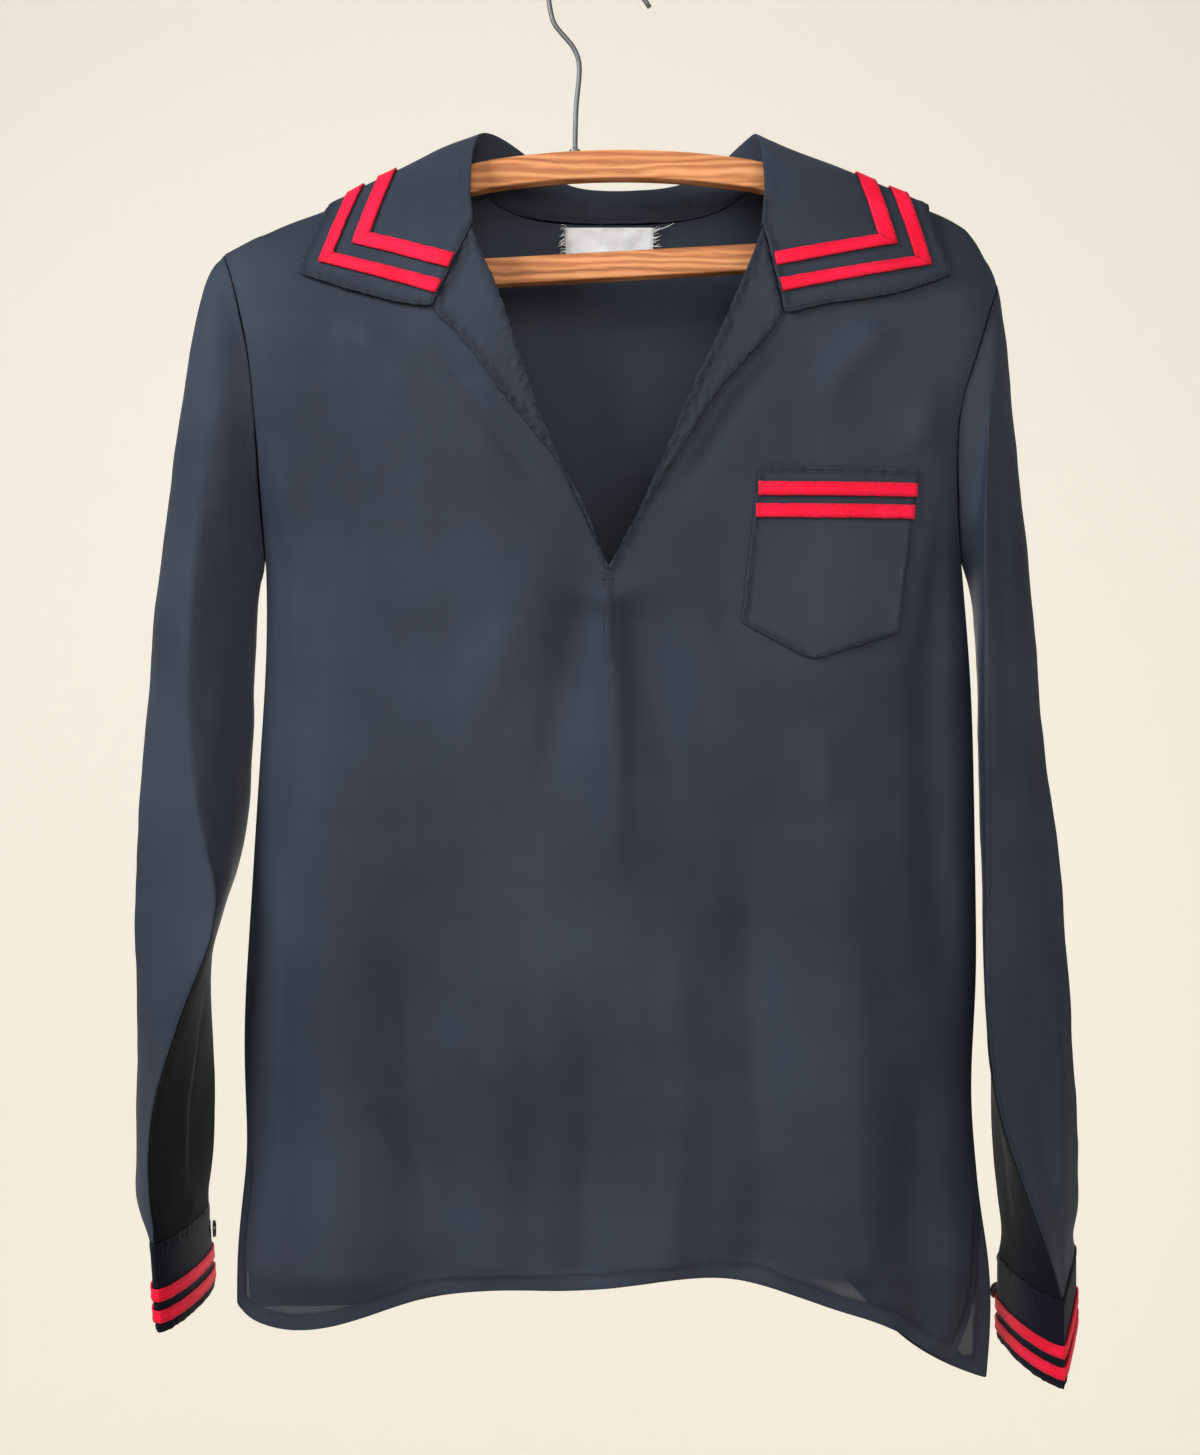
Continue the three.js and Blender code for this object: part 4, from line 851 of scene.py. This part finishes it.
def crease_panel(piece, rows, sign, seed, laid):
    """Moves a panel's points out, along -Y on the front and +Y on the back."""
    points = points_of(piece)
    flat = points[:, [0, 2]] / MM
    out = FOLD_DEPTH * sum(crease(flat, **row) for row in rows)
    out += ripple(points, *BROAD_WAVE, seed) + ripple(points, *FINE_WAVE, seed + 2)
    beside = LAID_SHARE + (1 - LAID_SHARE) * clear_of(points, laid)
    held = ease((np.abs(points[:, 1]) / MM - SIDE_HOLD) / SIDE_RISE) * beside
    points[:, 1] += sign * out * held
    put_points(piece, points)
    print(piece.name, "moved up to", round(float(np.abs(out).max()) / MM, 2), "mm")


print("panels can be creased")

# %% [markdown]
# The hem is turned up and sewn 9 mm from the edge, round the foot and up both side slits. Above it a single
# layer hangs. The hem could be a strip of its own, but on a thin cloth it only shows as a row of puckers.

# %% Hem and centre seam
HEM = 9
SLIT_TOPS = {"left": -728, "right": -763}
CENTRE_SEAM = [(9, -384), (9, -436)]
SINGLE_TOP, SINGLE_RISE, SINGLE_EDGE = -790, 10, 0.8  # below this height the single layer shows
SEAM_WIDE, RIM_WIDE, RIM_SHARE = 1.6, 1.8, 0.6
FACING = 0.2  # a face shows when its normal's part along Y is past this


def below_slits(p):
    """1 on the part of a panel that has a hem round it."""
    top = np.where(p[:, 0] < CENTRE_SEAM[0][0], SLIT_TOPS["left"], SLIT_TOPS["right"])
    return (p[:, 2] < top).astype(float)


def panel_marks(piece):
    """Paints the hem's seam, the centre seam and the cut edges, which the finish darkens as painted shade,
    and the single layer above the hem.
    """
    gap = edge_distance(piece)
    points = points_of(piece) / MM
    hem = np.exp(-(((gap - HEM) / SEAM_WIDE) ** 2)) * below_slits(points)
    rim = np.exp(-((gap / RIM_WIDE) ** 2))
    paint(piece, "single", ease((SINGLE_TOP - points[:, 2]) / SINGLE_RISE) * ease((gap - HEM) / SINGLE_EDGE))
    centre = np.zeros(len(points))
    if piece is pieces["front"]:
        centre = np.exp(-((off_path(points[:, [0, 2]], CENTRE_SEAM)[0] / SEAM_WIDE) ** 2))
    paint(piece, "seam", hem + rim * RIM_SHARE + centre)


def hem_panel(piece, sign, lift, seed):
    """Puckers, marks and sews the hem on the side of a panel that shows."""
    gather(piece, HEM, lift=lift, seed=seed, keep=below_slits)
    panel_marks(piece)
    sew_edge(piece, HEM, NAVY_THREAD,
             lambda f: f.normal.y * sign > FACING and below_slits(np.array([f.center]) / MM)[0] > 0)


print("hem", HEM, "mm, slits up to", SLIT_TOPS)

# %% [markdown]
# The front is one panel with a V at the neck and a short seam below the V, sewn down on both sides of it
# and across its head. Its wall is creased first, so that the stitches lie on the creased cloth.

# %% Front panel
CENTRE_STITCHES = [[(6.6, -388), (6.6, -436)], [(11.4, -388), (11.4, -436)], [(4, -386), (14, -386)],
                   [(4, -389), (14, -389)]]

front = cloth_wall("front", crisp=0.55, finish=NAVY)
crease_panel(front, FRONT_CREASES, sign=-1, seed=1, laid=["pocket", "rever_left", "rever_right", "collar"])
hem_panel(front, sign=-1, lift=0.9, seed=2)
sew_path(front, CENTRE_STITCHES, NAVY_THREAD, "centre_seam_stitches")

# %% [markdown]
# The back is a plain panel that hangs a little longer. It is made in the same way, with folds of its own
# that stand out along +Y. Its hem shows below the front's, so it is puckered more.

# %% Back panel
back = cloth_wall("back", crisp=0.55, finish=NAVY)
crease_panel(back, BACK_CREASES, sign=1, seed=4, laid=["collar", "label"])
hem_panel(back, sign=1, lift=1.5, seed=5)

# %% [markdown]
# ## Sleeves
# A sleeve is a tube that hangs from the armhole, so its folds run down it. Moving them along Y alone would
# squash the tube, so a fold moves its points straight out from the middle of the tube at their height.

# %% Tubes
TUBE_WAVE, TUBE_FINE_WAVE = (38, 1.1), (14, 0.35)
TURN_WIDE = 8  # a fold of the near side fades out over this width at the tube's edge
TOP_RISE, FOOT_RISE = 16, 10


def round_tube(points, slices=36):
    """The middle of a tube at each point's height, and the way out from it."""
    heights = points[:, 2]
    edges = np.linspace(heights.min(), heights.max() + 1e-6, slices + 1)
    slot = np.clip(np.digitize(heights, edges) - 1, 0, slices - 1)
    middles = np.array([(points[slot == k][:, :2].max(0) + points[slot == k][:, :2].min(0)) / 2
                        if (slot == k).any() else (np.nan, np.nan) for k in range(slices)])
    centres = (edges[:-1] + edges[1:]) / 2
    good = ~np.isnan(middles[:, 0])
    middle = np.column_stack([np.interp(heights, centres[good], middles[good, k]) for k in (0, 1)])
    way = points[:, :2] - middle
    return middle, way / np.maximum(np.hypot(*way.T), 1e-6)[:, None]


def crease_tube(piece, rows, seed, held_top, held_foot):
    """Moves a tube's points out or in along rows of (x, z) paths on its front or its back."""
    points = points_of(piece)
    middle, way = round_tube(points)
    flat = points[:, [0, 2]] / MM
    out = ripple(points, *TUBE_WAVE, seed) + ripple(points, *TUBE_FINE_WAVE, seed + 3)
    for row in rows:
        row = dict(row)
        side = row.pop("side")
        facing = ease(side * (points[:, 1] - middle[:, 1]) / MM / TURN_WIDE + 0.5)
        out += crease(flat, **row) * facing
    height = points[:, 2] / MM
    held = ease((held_top - height) / TOP_RISE) * ease((height - held_foot) / FOOT_RISE)
    points[:, :2] += way * (out * held)[:, None]
    put_points(piece, points)
    print(piece.name, "moved up to", round(float(np.abs(out * held).max()) / MM, 2), "mm")


print("tubes can be creased")

# %% [markdown]
# The near side of each sleeve shows long folds from the armhole and tight ones above the cuff, where the
# cloth is gathered in. The far side gets broad folds of its own.

# %% Sleeve creases
NEAR, FAR = -1, 1
LEFT_SLEEVE_CREASES = [
    dict(side=NEAR, path=[(-226, -225), (-224, -320), (-232, -430)], wide=9, deep=-1.8, fade=(0.3, 0.4)),
    dict(side=NEAR, path=[(-208, -390), (-222, -470), (-240, -560)], wide=10, deep=1.8, fade=(0.25, 0.5)),
    dict(side=NEAR, path=[(-250, -330), (-256, -450), (-262, -560)], wide=8, deep=1.2, fade=(0.3, 0.4)),
    dict(side=NEAR, path=[(-240, -600), (-256, -680), (-262, -745)], wide=6, deep=-1.4, fade=(0.3, 0.3)),
    dict(side=NEAR, path=[(-232, -640), (-238, -700), (-246, -762)], wide=7, deep=1.6, fade=(0.3, 0.1)),
    dict(side=NEAR, path=[(-256, -724), (-250, -748), (-252, -769)], wide=4, deep=-1.5, fade=(0.3, 0.05)),
    dict(side=NEAR, path=[(-244, -730), (-243, -752), (-245, -769)], wide=4, deep=-1.4, fade=(0.3, 0.05)),
    dict(side=FAR, path=[(-222, -260), (-226, -400), (-232, -540)], wide=12, deep=2.2, fade=(0.3, 0.3)),
    dict(side=FAR, path=[(-240, -440), (-246, -560), (-242, -700)], wide=10, deep=-2.0, fade=(0.3, 0.3)),
]
RIGHT_SLEEVE_CREASES = [
    dict(side=NEAR, path=[(236, -240), (234, -340), (236, -440)], wide=8, deep=-2.0, fade=(0.2, 0.4)),
    dict(side=NEAR, path=[(252, -300), (252, -420), (258, -540)], wide=9, deep=1.8, fade=(0.3, 0.4)),
    dict(side=NEAR, path=[(230, -300), (232, -400), (236, -520)], wide=6, deep=1.6, fade=(0.3, 0.4)),
    dict(side=NEAR, path=[(262, -430), (272, -560), (276, -660)], wide=9, deep=-1.6, fade=(0.3, 0.4)),
    dict(side=NEAR, path=[(272, -600), (276, -680), (274, -780)], wide=6, deep=1.8, fade=(0.3, 0.2)),
    dict(side=NEAR, path=[(258, -700), (264, -740), (268, -796)], wide=5, deep=-1.8, fade=(0.3, 0.1)),
    dict(side=NEAR, path=[(276, -748), (272, -770), (270, -799)], wide=4, deep=-1.6, fade=(0.3, 0.05)),
    dict(side=FAR, path=[(240, -280), (246, -420), (252, -560)], wide=12, deep=2.2, fade=(0.3, 0.3)),
    dict(side=FAR, path=[(256, -450), (262, -600), (260, -740)], wide=10, deep=-2.0, fade=(0.3, 0.3)),
]
print("sleeve creases:", len(LEFT_SLEEVE_CREASES), "and", len(RIGHT_SLEEVE_CREASES))

# %% [markdown]
# Low down, the side of a sleeve that is turned in to the body is nearly black, because little light gets in
# there. That side gets painted shade, a tone near black, which helps the soft lights to show it.

# %% Sleeves
SLEEVES = [
    dict(side="left", rows=LEFT_SLEEVE_CREASES, seed=6, foot=-770, inward=1, shade_top=-585),
    dict(side="right", rows=RIGHT_SLEEVE_CREASES, seed=8, foot=-802, inward=-1, shade_top=-632),
]
ARMHOLE_HOLD = -205
SHADE_START, SHADE_TURN, SHADE_RISE = 0.1, 0.3, 40


def paint_sleeve_shade(piece, inward, top):
    """Paints shade on the side of a sleeve that is turned in towards the body, below a height."""
    height = points_of(piece)[:, 2] / MM
    facing = ease((normals_of(piece)[:, 0] * inward - SHADE_START) / SHADE_TURN)
    paint(piece, "shade", facing * ease((top - height) / SHADE_RISE))


for made in SLEEVES:
    sleeve = cloth_wall(f"sleeve_{made['side']}", crisp=0.35)
    crease_tube(sleeve, made["rows"], made["seed"], held_top=ARMHOLE_HOLD, held_foot=made["foot"])
    # the cut edges are painted as seams, which the finish darkens as painted shade
    paint(sleeve, "seam", np.exp(-((edge_distance(sleeve) / RIM_WIDE) ** 2)))
    paint_sleeve_shade(sleeve, made["inward"], made["shade_top"])

# %% [markdown]
# ## Cuffs
# A cuff is a short stiff tube, darker than the rest, with two rows of red tape round it. Each tape is woven
# flat and sewn down along both rims, so it has a wall of its own that keeps its sharp corners.

# %% Cuffs
CUFFS = [dict(side="left", middle=-0.2435, seed=10), dict(side="right", middle=0.2685, seed=12)]
TAPE_SEAM, TAPE_SEAM_WIDE = 1.0, 0.8


def outside(middle):
    """Accepts the faces of a tube that look away from its middle."""
    return lambda f: f.normal.x * (f.center.x - middle) + f.normal.y * f.center.y > 0


def woven_tape(node, keep, seed):
    """A tape with puckered, stitched rims."""
    tape = smooth_wall(copy_of(node, node + "_woven", RED), TAPE_LEVELS, crisp=1.0)
    sew_down(tape, TAPE_SEAM, TAPE_SEAM_WIDE, lift=0.34, seed=seed, keep=keep, thread=RED_THREAD)
    return tape


for made in CUFFS:
    node = f"cuff_{made['side']}"
    away = outside(made["middle"])
    cuff = cloth_wall(node, crisp=0.6, finish=CUFF_NAVY)
    sew_down(cuff, inset=2.0, wide=2.0, lift=0.7, seed=made["seed"], keep=away)
    for name in ("upper", "lower"):
        woven_tape(f"{node}_tape_{name}", away, made["seed"])

# %% [markdown]
# ## Collar and revers
# The collar is one wall that stands up at the neck, rolls over and lies on the shoulders. Its fold was
# pressed, so its sharp edges keep half of their crease. The stand behind the neck has small upright folds.
# The revers are the two turned-out edges of the V and lie on the front.

# %% Collar and revers
def seen(f):
    """Accepts faces that look away from the body, to the front, the back or upwards."""
    return f.normal.y * (1 if f.center.y > 0 else -1) > 0.15 or f.normal.z > 0.5


COLLAR_FOLDS = [
    dict(path=[(-70, -150), (-40, -166)], wide=6, deep=1.6, fade=(0.3, 0.3)),
    dict(path=[(-46, -148), (-22, -168)], wide=5, deep=-1.4, fade=(0.3, 0.3)),
    dict(path=[(-8, -150), (6, -170)], wide=6, deep=1.5, fade=(0.3, 0.3)),
    dict(path=[(38, -150), (30, -170)], wide=6, deep=-1.4, fade=(0.3, 0.3)),
    dict(path=[(66, -148), (52, -168)], wide=6, deep=1.6, fade=(0.3, 0.3)),
    dict(path=[(96, -148), (76, -164)], wide=6, deep=-1.2, fade=(0.3, 0.3)),
]
STAND_START, STAND_RISE = 14, 6  # the folds lie on the cloth this far behind the hook

collar = cloth_wall("collar", crisp=0.5)
stand = points_of(collar)
behind = ease((stand[:, 1] / MM - STAND_START) / STAND_RISE)
stand[:, 1] += sum(crease(stand[:, [0, 2]] / MM, **fold) for fold in COLLAR_FOLDS) * behind
put_points(collar, stand)
sew_down(collar, inset=1.8, wide=2.6, lift=0.75, seed=14, keep=seen)
for side, seed in (("left", 16), ("right", 18)):
    rever = cloth_wall(f"rever_{side}", crisp=0.6)
    sew_down(rever, inset=1.6, wide=3.0, lift=1.1, seed=seed, keep=seen)

# %% [markdown]
# ## Pocket
# The pocket is one layer, turned in and sewn close to its edge, with two tapes across its head. It is the
# crispest cloth of the top, because its folds were pressed before it was sewn on.

# %% Pocket and its tapes
pocket = cloth_wall("pocket", crisp=0.7)
sew_down(pocket, inset=1.8, wide=1.8, lift=0.6, seed=20, keep=seen)
for node, seed in (("pocket_tape_upper", 22), ("pocket_tape_lower", 24)):
    woven_tape(node, seen, seed)

# %% [markdown]
# A collar tape turns each corner with a mitre: it is folded over once and sewn down along the fold. The fold
# could be modelled, but on so thin a tape it is only a fine line of painted shade with a few stitches beside
# it.

# %% Collar tapes and their mitres
MITRES = {
    "collar_tape_outer": [[(-161, -203.4), (-151, -197.7)], [(198.6, -204.6), (187.6, -199.8)]],
    "collar_tape_inner": [[(-141, -192.8), (-129.3, -186.2)], [(178.6, -192.7), (166, -187.2)]],
}
MITRE_WIDE, MITRE_SHADE = 0.6, 1.5
BESIDE_X, BESIDE_Z = 1.2, 1.0  # how far the stitches lie from the fold

for node, seed in (("collar_tape_outer", 26), ("collar_tape_inner", 28)):
    tape = woven_tape(node, seen, seed)
    gap = edge_distance(tape)
    flat = points_of(tape)[:, [0, 2]] / MM
    # painted shade: the fold of each mitre is a fine dark line
    fold = sum(np.exp(-((off_path(flat, path)[0] / MITRE_WIDE) ** 2)) for path in MITRES[node])
    paint(tape, "seam", np.exp(-(((gap - TAPE_SEAM) / TAPE_SEAM_WIDE) ** 2)) + MITRE_SHADE * fold)
    beside = [[(x + BESIDE_X, z + BESIDE_Z) for x, z in path] for path in MITRES[node]]
    sew_path(tape, beside, RED_THREAD, f"{node}_mitre_stitches")

# %% [markdown]
# ## Label
# The label is a strip of satin inside the neck. Being soft, it is waved a little, all but its sewn edges.

# %% Label
LABEL_WAVE = (9, 0.9)
LABEL_HOLD, LABEL_RISE = 0.5, 2

label = smooth_wall(copy_of("label", "neck_label", SATIN), LABEL_LEVELS, crisp=0.9)
spots = points_of(label)
waves = ripple(spots, *LABEL_WAVE, seed=31) * ease((edge_distance(label) - LABEL_HOLD) / LABEL_RISE)
put_points(label, spots + normals_of(label) * waves[:, None])
print("label waved by up to", round(float(np.abs(waves).max()) / MM, 2), "mm")

# %% [markdown]
# Its cut ends have frayed into short white threads, and one long end of the sewing thread hangs out beside
# it. They could be hair, but a few dozen copies of one bent thread are light and stay part of the mesh.

# %% Loose threads
def make_thread(length, thick, bend, steps=6):
    """One bent thread that starts at the origin and runs along X, extruded step by step."""
    bpy.ops.object.select_all(action="DESELECT")
    bpy.ops.mesh.primitive_circle_add(vertices=5, radius=thick / 2, fill_type="NGON",
                                      rotation=(0, math.pi / 2, 0))
    thread = bpy.context.object
    bpy.ops.object.transform_apply(location=True, rotation=True, scale=True)
    bpy.ops.object.mode_set(mode="EDIT")
    bpy.ops.mesh.select_mode(type="FACE")
    bpy.ops.mesh.select_all(action="SELECT")
    for step in range(steps):
        move = (length / steps, bend * (step - steps / 3) / steps, bend * 0.5 * math.sin(step))
        bpy.ops.mesh.extrude_region_move(TRANSFORM_OT_translate={"value": move})
    bpy.ops.object.mode_set(mode="OBJECT")
    return shape_of(thread)


LABEL_ENDS = {"left": (-17, -1), "right": (37, 1)}
LABEL_HEAD, LABEL_FOOT, LABEL_Y = -168, -190, float(points_of(label)[:, 1].min()) / MM
FRAY_COUNT, FRAY_TUCK, FRAY_FRONT = 30, 1.2, 0.2
TAIL_PLACE, TAIL_WAY = (36, LABEL_Y - 0.4, -169), Vector((1, -0.1, 0.18))
OUTWARDS = Vector((0, -1, 0))

fray = make_thread(4.5 * MM, 0.32 * MM, 0.9 * MM)
places = []
for number in range(FRAY_COUNT * 2):
    x, way = LABEL_ENDS["left" if number % 2 else "right"]
    share = (number // 2 + 0.5) / FRAY_COUNT
    drift = [noise.noise(Vector((number * 1.7, k * 9.1, 4.0))) for k in range(4)]
    middle = Vector((x - way * FRAY_TUCK, LABEL_Y - FRAY_FRONT + drift[3] * 0.6,
                     LABEL_HEAD + (LABEL_FOOT - LABEL_HEAD) * share)) * MM
    along = Vector((way, -0.25 + drift[0] * 0.8, drift[1] * 2.2)).normalized()
    places.append((middle, along, OUTWARDS, 1 + drift[2] * 0.9))
lay_copies("label_frayed_ends", fray, places, WHITE_THREAD)
tail = make_thread(14 * MM, 0.6 * MM, 2.4 * MM)
lay_copies("label_loose_end", tail, [(Vector(TAIL_PLACE) * MM, TAIL_WAY, OUTWARDS)], WHITE_THREAD)
print("frayed threads:", len(places))

# %% [markdown]
# ## Hanger
# The boards of a real hanger have their corners rubbed round. A subdivision surface would round the whole
# board, so each copy gets a small bevel instead. The hook's wire has small faces and is only shaded smooth.

# %% Hanger
FLAT, CORNER = math.radians(1), math.radians(50)
SMOOTH_CORNER, SMOOTH_WIRE = math.radians(40), math.radians(50)


def join_flats(piece):
    """Joins the faces of a copy that lie in one plane."""
    in_edit_mode(piece, lambda: bpy.ops.mesh.dissolve_limited(angle_limit=FLAT))


def round_corners(piece, width):
    """Bevels the corners of a piece and shades it smooth."""
    apply_modifier(piece, "BEVEL", width=width * MM, segments=3, limit_method="ANGLE", angle_limit=CORNER)
    only(piece)
    bpy.ops.object.shade_smooth_by_angle(angle=SMOOTH_CORNER)


for node, width in (("hanger_arch", 1.3), ("hanger_bar", 1.1)):
    board = copy_of(node, node + "_wood", WOOD)
    join_flats(board)
    round_corners(board, width)
for node in ("hanger_hook", "hanger_ferrule"):
    part = copy_of(node, node + "_wire", WIRE)
    only(part)
    bpy.ops.object.shade_smooth_by_angle(angle=SMOOTH_WIRE)
print("hanger made, pieces so far:", len(pieces))

# %% [markdown]
# ## Buttons
# Each cuff has one black button with a rim, a dished middle and two ties of thread. Its two large faces are
# inset and sunk, which leaves the rim, and then the rim is bevelled. The ties are two of the stitches.

# %% Buttons
RIM, DISH = 1.2 * MM, 0.45 * MM
TIE_GAP, TIE_DEPTH, TIE_SIZE = 0.7, 0.3, 1.3

for side, way in (("left", 1), ("right", -1)):
    disc = copy_of(f"button_{side}", f"button_{side}_rim", BUTTON_BLACK)
    join_flats(disc)
    caps = sorted(disc.data.polygons, key=lambda f: f.area)[-2:]
    cap = max(caps, key=lambda f: f.normal.x * way)
    middle, normal = cap.center.copy(), cap.normal.copy()
    across = normal.cross(Vector((0, 0, 1)))
    for face in disc.data.polygons:
        face.select = face.index in [c.index for c in caps]
    only(disc)
    bpy.ops.object.mode_set(mode="EDIT")
    bpy.ops.mesh.select_mode(type="FACE")
    bpy.ops.mesh.inset(thickness=RIM, depth=-DISH, use_individual=True)
    bpy.ops.object.mode_set(mode="OBJECT")
    ties = [(middle + across * k * MM - normal * TIE_DEPTH * MM, Vector((0, 0, 1)), normal, TIE_SIZE)
            for k in (-TIE_GAP, TIE_GAP)]
    lay_copies(f"button_{side}_thread", stitch, ties, NAVY_THREAD)
    round_corners(disc, 0.7)
    print(disc.name, "has", len(disc.data.polygons), "faces")
